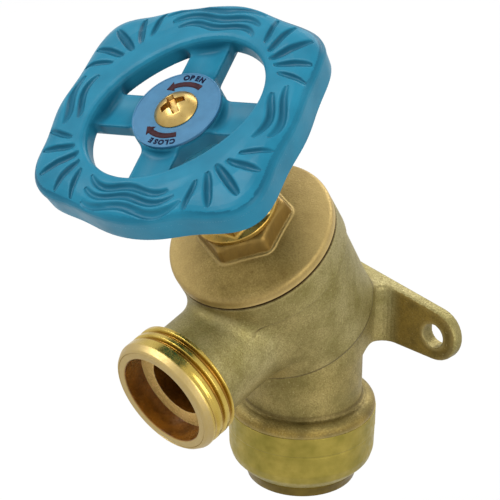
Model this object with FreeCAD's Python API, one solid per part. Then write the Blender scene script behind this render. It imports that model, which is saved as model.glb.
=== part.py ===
import FreeCAD, Part
import math
import os

# Garden valve, millimetres. The origin is the centre of the pipe socket's mouth.
# +Z runs up the pipe, -Y points to the hose side, +Y to the wall, X along the wall ears.

# Axes of the casting
TILT = 32.4
CROSSING_HEIGHT = 38.2
SEAM_DISTANCE = 30.6
OUTLET_DROP = 16.0
OUTLET_BELOW_SEAM = 19.7
OUTLET_REACH = 40.3

# Fits
RUNNING_FIT = 0.05
SLIDING_FIT = 0.1
RUBBER_FIT = 0.04

# Chamber and seat
CHAMBER_RADIUS = 18.5
CHAMBER_BAND = 7.0
CHAMBER_STEP = 0.35
CHAMBER_TAPER = 0.8
CHAMBER_LENGTH = 28.0
CHAMBER_BORE = 13.5
CHAMBER_DEPTH = 24.0
SEAT_BORE = 7.5
SEAT_WALL = 2.0
SEAT_HEIGHT = 1.6

# Inlet neck and push-fit socket
PIPE_RADIUS = 11.1
NECK_RADIUS = 13.4
PASSAGE_RADIUS = 8.0
PIPE_STOP_HEIGHT = 26.0
SHOULDER_TOP = 20.1
SHOULDER_RADIUS = 16.6
SHOULDER_ROUND = 2.2
SOCKET_SEAM = 17.2
SOCKET_TUBE_END = 12.8
GLAND_RADIUS = 13.4
GLAND_DEPTH = 3.5
CAP_RADIUS = 16.8
CAP_DRAFT = 0.4
CAP_WALL = 1.3
CAP_ROUND = 4.4
CAP_ROUND_WIDTH = 2.8
CAP_BOTTOM = 3.0
CAP_FLOOR = 1.6
CAP_LEDGE = 9.6

# Release collar and the parts stacked above it
COLLAR_RADIUS = 13.1
COLLAR_WALL = 1.6
COLLAR_FLANGE = 1.3
COLLAR_CHAMFER_HEIGHT = 2.4
COLLAR_CHAMFER = 0.7
RELEASE_TRAVEL = 1.5
GRAB_THICKNESS = 0.5
GRAB_BAND = 2.2
GRAB_TEETH = 8
GRAB_RISE = 1.3
GRAB_CLEARANCE = 0.3
SPACER_DISC = 2.4
SPACER_SPIGOT = 0.8
LINER_RADIUS = 8.45
LINER_WALL = 0.8
LINER_FLANGE = 1.0
LINER_LENGTH = 17.0

# Wall ears
EAR_BACK = 16.9
EAR_THICKNESS = 3.5
EAR_SPAN = 25.8
EAR_HEIGHT = 38.6
EAR_RADIUS = 6.0
EAR_HOLE = 2.8
EAR_ROOT_TOP = 48.4
EAR_FILLET = 3.6
WEB_HALF_WIDTH = 11.5
WEB_FRONT = 4.0

# Outlet
OUTLET_NECK = 11.35
OUTLET_FLARE = 0.4
OUTLET_BORE = 7.0
OUTLET_COUNTERBORE = 10.45
OUTLET_COUNTERBORE_DEPTH = 5.2
THREAD_RADIUS = 13.45
THREAD_LENGTH = 8.2
THREAD_PITCH = 2.209
THREAD_DEPTH = 1.25
THREAD_GROOVE = 1.55
THREAD_ROOT = 0.5
THREAD_PILOT = 2.6
THREAD_CHAMFER = 0.9

# Bonnet, measured from the seam
GASKET_THICKNESS = 0.6
GASKET_INSET = 0.5
BONNET_BAND = 1.9
BONNET_SHOULDER_RADIUS = 12.0
BONNET_SHOULDER = 4.85
BONNET_BULGE = 0.35
BONNET_HEX = 19.5
BONNET_HEX_TOP = 9.6
BONNET_HEX_ANGLE = -20.0
BONNET_BOSS_RADIUS = 6.6
BONNET_BOSS_TOP = 13.6
BONNET_SKIRT = 7.5
BONNET_SKIRT_BORE = 8.6
STUFFING_RADIUS = 5.6
STUFFING_BOTTOM = 7.0
GUIDE_RADIUS = 5.5

# Packing nut and packing
NUT_FLANGE_RADIUS = 9.2
NUT_FLANGE = 1.3
NUT_HEX = 15.0
NUT_BEVEL = 1.2
NUT_BOTTOM = 10.0
NUT_TOP = 18.0
PACKING_HEIGHT = 3.4
WASHER_THICKNESS = 1.0

# Stem, closed
STEM_RADIUS = 4.0
STEM_HEAD_RADIUS = 7.6
STEM_HEAD_BOTTOM = 18.7
STEM_HEAD_HEIGHT = 3.2
STEM_LIFT = 5.0
STEM_THREAD_BOTTOM = 12.5
STEM_THREAD_TOP = 1.2
STEM_SQUARE = 6.4
STEM_SQUARE_BOTTOM = 32.0
STEM_TOP = 40.6
SEAT_WASHER_THICKNESS = 3.6
SEAT_WASHER_RADIUS = 9.0
WASHER_SCREW_RADIUS = 1.9
WASHER_SCREW_HEAD = 4.2
WASHER_SCREW_HEAD_HEIGHT = 1.9
WASHER_SCREW_DEPTH = 8.0
WASHER_SCREW_GRIP = 0.4
WASHER_SCREW_SLOT = 0.8

# Handwheel, measured from the seam
WHEEL_ANGLE = 15.0
WHEEL_SPOKES = 4
WHEEL_RADIUS = 27.7
WHEEL_FIRST_LOBE = 39.0
WHEEL_FIRST_RISE = 4.0
WHEEL_SECOND_LOBE = 140.0
WHEEL_SECOND_RISE = 5.0
WHEEL_INNER = 19.3
WHEEL_NARROWING = 3.8
WHEEL_BOTTOM = 35.3
WHEEL_INNER_BOTTOM = 39.5
WHEEL_TOP = 43.9
WHEEL_WALL = 1.8
WHEEL_DRAFT = 0.6
WHEEL_EDGE_DROP = 1.5
WHEEL_LIP = 0.3
WHEEL_CROWN = 24.6
HUB_RADIUS = 9.7
HUB_NECK_RADIUS = 6.4
HUB_BOTTOM = 30.0
HUB_CONE_BOTTOM = 34.5
HUB_CONE_TOP = 38.4
HUB_TOP = 41.8
SPOKE_WIDTH = 8.4
SPOKE_BOTTOM = 37.8
SPOKE_TOP = 41.3
SPOKE_GROOVE = 1.1
LABEL_THICKNESS = 0.5
LABEL_RADIUS = 9.5
HANDLE_SCREW_RADIUS = 2.1
HANDLE_SCREW_HEAD = 4.8
HANDLE_SCREW_HEAD_HEIGHT = 2.4
HANDLE_SCREW_LENGTH = 12.0
RECESS_LENGTH = 5.4
RECESS_WIDTH = 1.3
RECESS_DEPTH = 1.6
RECESS_ANGLE = 56.0
LABEL_TOP = HUB_TOP + LABEL_THICKNESS

Vector = FreeCAD.Vector
UP = Vector(0, 0, 1)
TURN = 360.0


# Shape helpers: radii and heights in a part's own frame, with its axis along Z.

def rod(radius, bottom, top):
    return Part.makeCylinder(radius, top - bottom, Vector(0, 0, bottom))


def tube(inner, outer, bottom, top):
    return rod(outer, bottom, top).cut(rod(inner, bottom - 1, top + 1))


def outline(points):
    """Closed edges through (across, along) points; a point given as a pair of points is an arc."""
    edges = []
    here = points[0]
    for step in points[1:]:
        if isinstance(step[0], tuple):
            middle, end = step
            arc = Part.Arc(Vector(*here), Vector(*middle), Vector(*end))
            edges.append(arc.toShape())
        else:
            end = step
            edges.append(Part.makeLine(Vector(*here), Vector(*end)))
        here = end
    if here != points[0]:
        edges.append(Part.makeLine(Vector(*here), Vector(*points[0])))
    return Part.Face(Part.Wire(edges))


def lift_xz(points):
    """Points (x, z) set into the XZ plane."""
    lifted = []
    for step in points:
        if isinstance(step[0], tuple):
            lifted.append(tuple((x, 0, z) for x, z in step))
        else:
            lifted.append((step[0], 0, step[1]))
    return lifted


def turned(points):
    return outline(lift_xz(points)).revolve(Vector(0, 0, 0), UP, TURN)


def prism(sides, across_flats, bottom, top, angle=0.0):
    corner_radius = across_flats / 2 / math.cos(math.pi / sides)
    corners = []
    for index in range(sides + 1):
        turn = math.radians(angle) + index * 2 * math.pi / sides
        corners.append(Vector(corner_radius * math.cos(turn), corner_radius * math.sin(turn), bottom))
    return Part.Face(Part.makePolygon(corners)).extrude(Vector(0, 0, top - bottom))


def round_edges(shape, radius, height, edge_radius):
    """Rounds the circular edges of one radius at one height."""
    chosen = []
    for edge in shape.Edges:
        curve = edge.Curve
        if not isinstance(curve, Part.Circle):
            continue
        if abs(curve.Center.z - height) < 1e-4 and abs(curve.Radius - edge_radius) < 1e-4:
            chosen.append(edge)
    return shape.makeFillet(radius, chosen)


def mouth_cone(height, inner, outer, depth):
    """Cutter that bevels the outer edge of a rod's upper end."""
    ring = rod(outer + 2, height - depth, height + 1)
    cone = Part.makeCone(outer, inner, depth, Vector(0, 0, height - depth))
    return ring.cut(cone)


# Frames of the three axes

def bonnet_frame():
    lean = math.radians(TILT)
    seam = Vector(0, -SEAM_DISTANCE * math.sin(lean), CROSSING_HEIGHT + SEAM_DISTANCE * math.cos(lean))
    return FreeCAD.Placement(seam, FreeCAD.Rotation(Vector(1, 0, 0), TILT))


def outlet_frame():
    start = bonnet_frame().multVec(Vector(0, 0, -OUTLET_BELOW_SEAM))
    return FreeCAD.Placement(start, FreeCAD.Rotation(Vector(1, 0, 0), 90 + OUTLET_DROP))


def on_bonnet(shape):
    shape.Placement = bonnet_frame().multiply(shape.Placement)
    return shape


def on_outlet(shape):
    shape.Placement = outlet_frame().multiply(shape.Placement)
    return shape


# Casting

def chamber_outside():
    lower = CHAMBER_RADIUS - CHAMBER_STEP
    end = lower - CHAMBER_TAPER
    profile = [
        (0, 0),
        (CHAMBER_RADIUS, 0),
        (CHAMBER_RADIUS, -CHAMBER_BAND),
        (lower, -CHAMBER_BAND - CHAMBER_STEP),
        (end, -CHAMBER_LENGTH + 1),
        (end - 1, -CHAMBER_LENGTH),
        (0, -CHAMBER_LENGTH),
    ]
    return on_bonnet(turned(profile))


def inlet_neck():
    """Upright neck, ended inside the chamber's lower end, with the socket's shoulder."""
    reach = CROSSING_HEIGHT + CHAMBER_RADIUS
    neck = rod(NECK_RADIUS, SHOULDER_TOP - 1, reach)
    corner = Vector(-2 * reach, -2 * reach, 0.5 - CHAMBER_LENGTH)
    above = Part.makeBox(4 * reach, 4 * reach, 2 * reach, corner)
    neck = neck.cut(on_bonnet(above))
    shoulder = rod(SHOULDER_RADIUS, SOCKET_SEAM, SHOULDER_TOP)
    shoulder = round_edges(shoulder, SHOULDER_ROUND, SHOULDER_TOP, SHOULDER_RADIUS)
    socket = rod(CAP_RADIUS - CAP_WALL - RUNNING_FIT, SOCKET_TUBE_END, SHOULDER_TOP - 1)
    return neck.fuse(shoulder).fuse(socket)


def ear_outline():
    """Front view of both ears as one plate, tapering to round ends."""
    slope = math.atan2(EAR_ROOT_TOP - EAR_HEIGHT - EAR_RADIUS, EAR_SPAN)
    top_x = EAR_SPAN + EAR_RADIUS * math.sin(slope)
    top_z = EAR_HEIGHT + EAR_RADIUS * math.cos(slope)
    low_z = EAR_HEIGHT - EAR_RADIUS
    return lift_xz([
        (-EAR_SPAN, low_z),
        (EAR_SPAN, low_z),
        ((EAR_SPAN + EAR_RADIUS, EAR_HEIGHT), (top_x, top_z)),
        (0, EAR_ROOT_TOP),
        (-top_x, top_z),
        ((-EAR_SPAN - EAR_RADIUS, EAR_HEIGHT), (-EAR_SPAN, low_z)),
    ])


def web_outline():
    """Plan view of the web between the neck and the plate, with hollow corners."""
    front = EAR_BACK - EAR_THICKNESS
    fillet = EAR_FILLET * (1 - math.sqrt(0.5))
    wide = WEB_HALF_WIDTH + EAR_FILLET
    deep = front - EAR_FILLET
    middle_x = WEB_HALF_WIDTH + fillet
    middle_y = front - fillet
    return [
        (-WEB_HALF_WIDTH, WEB_FRONT, 0),
        (WEB_HALF_WIDTH, WEB_FRONT, 0),
        (WEB_HALF_WIDTH, deep, 0),
        ((middle_x, middle_y, 0), (wide, front, 0)),
        (wide, EAR_BACK, 0),
        (-wide, EAR_BACK, 0),
        (-wide, front, 0),
        ((-middle_x, middle_y, 0), (-WEB_HALF_WIDTH, deep, 0)),
    ]


def web_foot():
    """Hollow fillet that runs the web's underside into the neck."""
    underside = EAR_HEIGHT - EAR_RADIUS
    low = underside - EAR_FILLET
    bend = EAR_FILLET * (1 - math.sqrt(0.5))
    core = NECK_RADIUS - 1
    rim = NECK_RADIUS + EAR_FILLET
    top = underside + EAR_THICKNESS
    return turned([
        (core, low),
        (NECK_RADIUS, low),
        ((NECK_RADIUS + bend, underside - bend), (rim, underside)),
        (rim, top),
        (core, top),
    ])


def ears():
    front = EAR_BACK - EAR_THICKNESS
    plate = outline(ear_outline()).extrude(Vector(0, EAR_THICKNESS, 0))
    plate.translate(Vector(0, front, 0))
    mass = outline(ear_outline()).extrude(Vector(0, EAR_BACK, 0))
    web = outline(web_outline()).extrude(Vector(0, 0, EAR_ROOT_TOP))
    both = plate.fuse(web.common(mass)).fuse(web.common(web_foot()))
    for side in (-1, 1):
        start = Vector(side * EAR_SPAN, front - EAR_THICKNESS, EAR_HEIGHT)
        hole = Part.makeCylinder(EAR_HOLE, 3 * EAR_THICKNESS, start, Vector(0, 1, 0))
        both = both.cut(hole)
    return both


def thread_groove():
    """Helical groove of the hose thread, from the neck's end to the plain pilot."""
    start = OUTLET_REACH - THREAD_LENGTH - THREAD_PITCH / 2
    height = THREAD_LENGTH + THREAD_PITCH / 2 - THREAD_PILOT
    outside = THREAD_RADIUS + 0.4
    root = THREAD_RADIUS - THREAD_DEPTH
    half = THREAD_GROOVE / 2
    section = Part.makePolygon([
        Vector(root, 0, -THREAD_ROOT / 2),
        Vector(root, 0, THREAD_ROOT / 2),
        Vector(outside, 0, half),
        Vector(outside, 0, -half),
        Vector(root, 0, -THREAD_ROOT / 2),
    ])
    helix = Part.makeHelix(THREAD_PITCH, height, root)
    groove = Part.Wire(helix).makePipeShell([section], True, True)
    groove.translate(Vector(0, 0, start))
    return groove


def outlet_outside():
    thread_start = OUTLET_REACH - THREAD_LENGTH
    lead = THREAD_RADIUS - OUTLET_NECK
    profile = [
        (0, 0),
        (OUTLET_NECK + OUTLET_FLARE, 0),
        (OUTLET_NECK, thread_start / 2),
        (OUTLET_NECK, thread_start),
        (THREAD_RADIUS, thread_start + lead / 4),
        (THREAD_RADIUS, OUTLET_REACH - THREAD_CHAMFER),
        (THREAD_RADIUS - THREAD_CHAMFER, OUTLET_REACH),
        (0, OUTLET_REACH),
    ]
    return on_outlet(turned(profile).cut(thread_groove()))


def chamber_inside():
    """Chamber bore with the raised seat left standing on its floor."""
    bore = rod(CHAMBER_BORE, -CHAMBER_DEPTH, 1)
    seat = rod(SEAT_BORE + SEAT_WALL, -CHAMBER_DEPTH, SEAT_HEIGHT - CHAMBER_DEPTH)
    seat = round_edges(seat, SEAT_WALL / 3, SEAT_HEIGHT - CHAMBER_DEPTH, SEAT_BORE + SEAT_WALL)
    passage = rod(SEAT_BORE, -SEAM_DISTANCE, 1 - CHAMBER_DEPTH + SEAT_HEIGHT)
    return on_bonnet(bore.cut(seat).fuse(passage))


def inlet_inside():
    pipe = rod(PIPE_RADIUS + 2 * SLIDING_FIT, SOCKET_TUBE_END - 1, PIPE_STOP_HEIGHT)
    gland = rod(GLAND_RADIUS, SOCKET_TUBE_END - 1, SOCKET_TUBE_END + GLAND_DEPTH)
    passage = rod(PASSAGE_RADIUS, PIPE_STOP_HEIGHT - 1, CROSSING_HEIGHT)
    elbow = Part.makeSphere(PASSAGE_RADIUS, Vector(0, 0, CROSSING_HEIGHT))
    return pipe.fuse(gland).fuse(passage).fuse(elbow)


def outlet_inside():
    bore = rod(OUTLET_BORE, CHAMBER_BORE - 3, OUTLET_REACH)
    counterbore = rod(OUTLET_COUNTERBORE, OUTLET_REACH - OUTLET_COUNTERBORE_DEPTH, OUTLET_REACH + 1)
    return on_outlet(bore.fuse(counterbore))


def valve_body():
    casting = chamber_outside().fuse(inlet_neck()).fuse(outlet_outside()).fuse(ears())
    casting = casting.cut(chamber_inside()).cut(inlet_inside()).cut(outlet_inside())
    return casting.removeSplitter()


# Push-fit end

def socket_cap():
    """Cap pressed over the socket tube; its floor holds the release collar."""
    lower_radius = CAP_RADIUS - CAP_DRAFT
    bend = 1 - math.sqrt(0.55)
    bore = CAP_RADIUS - CAP_WALL
    flange_bore = COLLAR_RADIUS + COLLAR_FLANGE + SLIDING_FIT
    opening = COLLAR_RADIUS + SLIDING_FIT
    profile = [
        (bore, SOCKET_SEAM),
        (CAP_RADIUS, SOCKET_SEAM),
        (lower_radius, CAP_BOTTOM + CAP_ROUND),
        ((lower_radius - bend * CAP_ROUND_WIDTH, CAP_BOTTOM + bend * CAP_ROUND),
         (lower_radius - CAP_ROUND_WIDTH, CAP_BOTTOM)),
        (opening, CAP_BOTTOM),
        (opening, CAP_BOTTOM + CAP_FLOOR),
        (flange_bore, CAP_BOTTOM + CAP_FLOOR),
        (flange_bore, CAP_LEDGE),
        (bore, CAP_LEDGE),
    ]
    return turned(profile)


def release_collar():
    """Sliding collar; pushed up, its nose lifts the teeth off the pipe."""
    inner = COLLAR_RADIUS - COLLAR_WALL
    flange_low = CAP_BOTTOM + CAP_FLOOR + RUNNING_FIT
    flange_high = flange_low + COLLAR_FLANGE
    nose_top = CAP_LEDGE - RELEASE_TRAVEL
    profile = [
        (inner, 0),
        (COLLAR_RADIUS - COLLAR_CHAMFER, 0),
        (COLLAR_RADIUS, COLLAR_CHAMFER_HEIGHT),
        (COLLAR_RADIUS, flange_low),
        (COLLAR_RADIUS + COLLAR_FLANGE, flange_low),
        (COLLAR_RADIUS + COLLAR_FLANGE, flange_high),
        (COLLAR_RADIUS, flange_high),
        (inner + 0.4, nose_top),
        (inner, nose_top),
    ]
    return turned(profile)


def grab_ring():
    """Steel ring whose sloping teeth point up the pipe."""
    outer = CAP_RADIUS - CAP_WALL - RUNNING_FIT
    band_inner = outer - GRAB_BAND
    tip = PIPE_RADIUS + RUBBER_FIT
    bottom = CAP_LEDGE + RUNNING_FIT
    profile = [
        (outer, bottom),
        (outer, bottom + GRAB_THICKNESS),
        (band_inner, bottom + GRAB_THICKNESS),
        (tip, bottom + GRAB_THICKNESS + GRAB_RISE),
        (tip, bottom + GRAB_RISE),
        (band_inner, bottom),
    ]
    ring = turned(profile)
    step = 2 * math.pi / GRAB_TEETH
    for index in range(GRAB_TEETH):
        gap = Part.makeBox(band_inner, 2 * GRAB_THICKNESS, 4 * GRAB_RISE,
                           Vector(0, -GRAB_THICKNESS, bottom - GRAB_RISE))
        gap.rotate(Vector(0, 0, 0), UP, math.degrees(index * step))
        ring = ring.cut(gap)
    return ring


def seal_spacer():
    """Ring between the teeth and the seal, hollowed over the teeth."""
    bottom = CAP_LEDGE + GRAB_THICKNESS + 2 * RUNNING_FIT
    outer = CAP_RADIUS - CAP_WALL - RUNNING_FIT
    inner = PIPE_RADIUS + 2 * SLIDING_FIT
    hollow = outer - GRAB_BAND + GRAB_CLEARANCE
    top = bottom + SPACER_DISC
    profile = [
        (hollow, bottom),
        (outer, bottom),
        (outer, top),
        (GLAND_RADIUS - RUNNING_FIT, top),
        (GLAND_RADIUS - RUNNING_FIT, top + SPACER_SPIGOT),
        (inner, top + SPACER_SPIGOT),
        (inner, bottom + GRAB_RISE + GRAB_CLEARANCE),
    ]
    return turned(profile)


def pipe_o_ring():
    section = (GLAND_RADIUS - PIPE_RADIUS) / 2 - RUBBER_FIT
    centre = (GLAND_RADIUS + PIPE_RADIUS) / 2
    height = SOCKET_TUBE_END + GLAND_DEPTH - section - RUBBER_FIT
    return Part.makeTorus(centre, section, Vector(0, 0, height))


def pipe_liner():
    """Stiffener for soft pipe, its flange against the pipe stop."""
    top = PIPE_STOP_HEIGHT - RUNNING_FIT
    flange = tube(LINER_RADIUS - LINER_WALL, PIPE_RADIUS, top - LINER_FLANGE, top)
    sleeve = tube(LINER_RADIUS - LINER_WALL, LINER_RADIUS, top - LINER_LENGTH, top)
    return flange.fuse(sleeve).removeSplitter()


# Bonnet group

def bonnet_gasket():
    inner = CHAMBER_BORE + GASKET_INSET
    ring = tube(inner, CHAMBER_RADIUS - GASKET_INSET, RUNNING_FIT, GASKET_THICKNESS - RUNNING_FIT)
    return on_bonnet(ring)


def bonnet():
    """Domed cover with a wrench hexagon, a boss for the packing nut and a skirt in the chamber."""
    low = GASKET_THICKNESS
    skirt = CHAMBER_BORE - RUNNING_FIT
    middle_r = (CHAMBER_RADIUS + BONNET_SHOULDER_RADIUS) / 2 + BONNET_BULGE
    middle_s = (low + BONNET_BAND + BONNET_SHOULDER) / 2 + BONNET_BULGE
    profile = [
        (GUIDE_RADIUS - 1, -BONNET_SKIRT),
        (skirt, -BONNET_SKIRT),
        (skirt, low),
        (CHAMBER_RADIUS, low),
        (CHAMBER_RADIUS, low + BONNET_BAND),
        ((middle_r, middle_s), (BONNET_SHOULDER_RADIUS, BONNET_SHOULDER)),
        (BONNET_BOSS_RADIUS, BONNET_SHOULDER),
        (BONNET_BOSS_RADIUS, BONNET_BOSS_TOP),
        (GUIDE_RADIUS - 1, BONNET_BOSS_TOP),
    ]
    cover = turned(profile)
    nut = prism(6, BONNET_HEX, BONNET_SHOULDER - 2, BONNET_HEX_TOP, BONNET_HEX_ANGLE)
    bevel = mouth_cone(BONNET_HEX_TOP, BONNET_HEX / 2 - 0.3, BONNET_HEX / 2 + 2, 1.2)
    cover = cover.fuse(nut.cut(bevel))
    guide = rod(STEM_RADIUS + RUNNING_FIT, -BONNET_SKIRT - 1, BONNET_BOSS_TOP + 1)
    thread_end = STEM_THREAD_TOP + STEM_LIFT + SLIDING_FIT
    thread = rod(GUIDE_RADIUS + RUNNING_FIT, -BONNET_SKIRT - 1, thread_end)
    pocket = rod(BONNET_SKIRT_BORE, -BONNET_SKIRT - 1, -BONNET_SKIRT / 2)
    stuffing = rod(STUFFING_RADIUS, STUFFING_BOTTOM, BONNET_BOSS_TOP + 1)
    return on_bonnet(cover.cut(guide).cut(thread).cut(pocket).cut(stuffing).removeSplitter())


def stem_packing():
    bottom = STUFFING_BOTTOM + RUNNING_FIT
    ring = tube(STEM_RADIUS + RUNNING_FIT, STUFFING_RADIUS - RUNNING_FIT, bottom, bottom + PACKING_HEIGHT)
    return on_bonnet(ring)


def packing_washer():
    bottom = STUFFING_BOTTOM + PACKING_HEIGHT + 2 * RUNNING_FIT
    ring = tube(STEM_RADIUS + RUNNING_FIT, STUFFING_RADIUS - RUNNING_FIT, bottom, bottom + WASHER_THICKNESS)
    return on_bonnet(ring)


def packing_nut():
    """Flanged nut over the boss; its inner rim presses on the packing washer."""
    bore = BONNET_BOSS_RADIUS + RUNNING_FIT
    roof = BONNET_BOSS_TOP + RUNNING_FIT
    flange = rod(NUT_FLANGE_RADIUS, NUT_BOTTOM, NUT_BOTTOM + NUT_FLANGE)
    flange = round_edges(flange, NUT_FLANGE / 3, NUT_BOTTOM + NUT_FLANGE, NUT_FLANGE_RADIUS)
    barrel = prism(6, NUT_HEX, NUT_BOTTOM + NUT_FLANGE - 0.1, NUT_TOP)
    bevel = mouth_cone(NUT_TOP, NUT_HEX / 2 - 0.4, NUT_HEX / 2 + 2, NUT_BEVEL)
    nut = flange.fuse(barrel.cut(bevel))
    nut = nut.cut(rod(bore, NUT_BOTTOM - 1, roof))
    press_bottom = STUFFING_BOTTOM + PACKING_HEIGHT + WASHER_THICKNESS + 3 * RUNNING_FIT
    press = rod(STUFFING_RADIUS - RUNNING_FIT, press_bottom, NUT_TOP - 1)
    nut = nut.fuse(press)
    nut = nut.cut(rod(STEM_RADIUS + RUNNING_FIT, press_bottom - 1, NUT_TOP + 1))
    return on_bonnet(nut.removeSplitter())


# Stem group

def stem():
    head_top = STEM_HEAD_HEIGHT - STEM_HEAD_BOTTOM
    shaft = rod(STEM_RADIUS, -STEM_HEAD_BOTTOM, STEM_SQUARE_BOTTOM)
    thread = rod(GUIDE_RADIUS, -STEM_THREAD_BOTTOM, STEM_THREAD_TOP)
    head = rod(STEM_HEAD_RADIUS, -STEM_HEAD_BOTTOM, head_top)
    head = round_edges(head, STEM_HEAD_HEIGHT / 4, head_top, STEM_HEAD_RADIUS)
    square = prism(4, STEM_SQUARE, STEM_SQUARE_BOTTOM - 1, STEM_TOP, WHEEL_ANGLE + 45)
    square = square.common(rod(STEM_RADIUS, STEM_SQUARE_BOTTOM - 1, STEM_TOP))
    whole = shaft.fuse(thread).fuse(head).fuse(square)
    tapped = rod(HANDLE_SCREW_RADIUS + RUNNING_FIT, LABEL_TOP - HANDLE_SCREW_LENGTH - 1, STEM_TOP + 1)
    lower = rod(WASHER_SCREW_RADIUS + RUNNING_FIT, -STEM_HEAD_BOTTOM - 1,
                WASHER_SCREW_DEPTH - STEM_HEAD_BOTTOM - SEAT_WASHER_THICKNESS + 1)
    return on_bonnet(whole.cut(tapped).cut(lower).removeSplitter())


def seat_washer():
    """Rubber washer pressed on the seat when the valve is shut."""
    top = -STEM_HEAD_BOTTOM - RUNNING_FIT
    ring = tube(WASHER_SCREW_RADIUS + SLIDING_FIT, SEAT_WASHER_RADIUS, top - SEAT_WASHER_THICKNESS, top)
    pocket = rod(WASHER_SCREW_HEAD + SLIDING_FIT, top - SEAT_WASHER_THICKNESS - 1,
                 top - SEAT_WASHER_THICKNESS + WASHER_SCREW_HEAD_HEIGHT)
    return on_bonnet(ring.cut(pocket))


def washer_screw():
    face = -STEM_HEAD_BOTTOM - RUNNING_FIT - SEAT_WASHER_THICKNESS
    head_top = face + WASHER_SCREW_HEAD_HEIGHT - RUNNING_FIT
    head = rod(WASHER_SCREW_HEAD, face - WASHER_SCREW_GRIP, head_top)
    head = round_edges(head, 0.5, face - WASHER_SCREW_GRIP, WASHER_SCREW_HEAD)
    slot = Part.makeBox(3 * WASHER_SCREW_HEAD, WASHER_SCREW_SLOT, 1,
                        Vector(-1.5 * WASHER_SCREW_HEAD, -WASHER_SCREW_SLOT / 2, face - 1))
    shank = rod(WASHER_SCREW_RADIUS, head_top, face + WASHER_SCREW_DEPTH)
    return on_bonnet(head.cut(slot).fuse(shank).removeSplitter())


# Handwheel group

def wheel_radius(turn):
    """Outer radius at an angle: a circle with two pairs of rounded lobes."""
    first = max(0.0, math.cos(2 * (turn - math.radians(WHEEL_FIRST_LOBE))))
    second = max(0.0, math.cos(2 * (turn - math.radians(WHEEL_SECOND_LOBE))))
    return WHEEL_RADIUS + WHEEL_FIRST_RISE * first ** 6 + WHEEL_SECOND_RISE * second ** 6


def opening_radius(turn):
    """Inner radius at an angle: an oval whose long way lies between two spokes."""
    return WHEEL_INNER - WHEEL_NARROWING * (1 - math.sin(2 * turn)) / 2


def wheel_contour(radius_at, inset, height):
    """Edge of the wheel as one closed curve."""
    points = []
    count = WHEEL_SPOKES * 20
    for index in range(count):
        turn = index * 2 * math.pi / count
        radius = radius_at(turn) - inset
        points.append(Vector(radius * math.cos(turn), radius * math.sin(turn), height))
    curve = Part.BSplineCurve()
    curve.interpolate(Points=points, PeriodicFlag=True)
    return Part.Wire(curve.toShape())


def wheel_rim():
    """Lobed rim with a deep outer wall, a short inner wall, a rounded crown and an open underside."""
    foot = WHEEL_RADIUS - WHEEL_DRAFT
    edge = WHEEL_TOP - WHEEL_EDGE_DROP
    eye = WHEEL_INNER - WHEEL_NARROWING - 1
    bottom_edge = wheel_contour(wheel_radius, WHEEL_DRAFT, WHEEL_BOTTOM)
    skirt = Part.makeLoft([bottom_edge, wheel_contour(wheel_radius, 0, edge)], True, True)
    crown = turned([
        (eye, edge - 1),
        (WHEEL_RADIUS - WHEEL_LIP, edge - 1),
        (WHEEL_RADIUS - WHEEL_LIP, edge),
        ((WHEEL_RADIUS - WHEEL_EDGE_DROP / 2, WHEEL_TOP - WHEEL_EDGE_DROP / 3), (WHEEL_CROWN, WHEEL_TOP)),
        (eye, WHEEL_TOP),
    ])
    channel = turned([
        (eye, WHEEL_BOTTOM - 1),
        (foot - WHEEL_WALL, WHEEL_BOTTOM - 1),
        (foot - WHEEL_WALL, edge - WHEEL_WALL),
        (WHEEL_INNER + WHEEL_WALL, edge - WHEEL_WALL + 1),
        (WHEEL_INNER + WHEEL_WALL, WHEEL_INNER_BOTTOM),
        (eye, WHEEL_INNER_BOTTOM),
    ])
    opening = Part.Face(wheel_contour(opening_radius, 0, WHEEL_BOTTOM - 1))
    opening = opening.extrude(Vector(0, 0, WHEEL_TOP - WHEEL_BOTTOM + 2))
    return skirt.fuse(crown).cut(opening).cut(channel)


def wheel_spoke():
    length = WHEEL_INNER
    corner = Vector(0, -SPOKE_WIDTH / 2, SPOKE_BOTTOM)
    bar = Part.makeBox(length, SPOKE_WIDTH, SPOKE_TOP - SPOKE_BOTTOM, corner)
    bed_radius = 3 * SPOKE_WIDTH / 4
    bed_start = Vector(HUB_RADIUS, 0, SPOKE_TOP + bed_radius - SPOKE_GROOVE)
    return bar.cut(Part.makeCylinder(bed_radius, 2 * length, bed_start, Vector(1, 0, 0)))


def handwheel():
    wheel = turned([
        (0, HUB_BOTTOM),
        (HUB_NECK_RADIUS, HUB_BOTTOM),
        (HUB_NECK_RADIUS, HUB_CONE_BOTTOM),
        (HUB_RADIUS, HUB_CONE_TOP),
        (HUB_RADIUS, HUB_TOP),
        (0, HUB_TOP),
    ])
    wheel = round_edges(wheel, 0.6, HUB_TOP, HUB_RADIUS)
    for index in range(WHEEL_SPOKES):
        spoke = wheel_spoke()
        spoke.rotate(Vector(0, 0, 0), UP, index * TURN / WHEEL_SPOKES)
        wheel = wheel.fuse(spoke)
    wheel = wheel.fuse(wheel_rim())
    socket = prism(4, STEM_SQUARE + 2 * RUNNING_FIT, HUB_BOTTOM - 1, STEM_TOP + SLIDING_FIT, 45)
    socket = socket.common(rod(STEM_RADIUS + RUNNING_FIT, HUB_BOTTOM - 1, STEM_TOP + SLIDING_FIT))
    entry = rod(STEM_RADIUS + RUNNING_FIT, HUB_BOTTOM - 1, STEM_SQUARE_BOTTOM + SLIDING_FIT)
    hole = rod(HANDLE_SCREW_RADIUS + SLIDING_FIT, HUB_BOTTOM, HUB_TOP + 1)
    wheel = wheel.cut(socket.fuse(entry)).cut(hole).removeSplitter()
    wheel.rotate(Vector(0, 0, 0), UP, WHEEL_ANGLE)
    return on_bonnet(wheel)


def label_plate():
    return on_bonnet(tube(HANDLE_SCREW_RADIUS + SLIDING_FIT, LABEL_RADIUS, HUB_TOP, LABEL_TOP))


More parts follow.
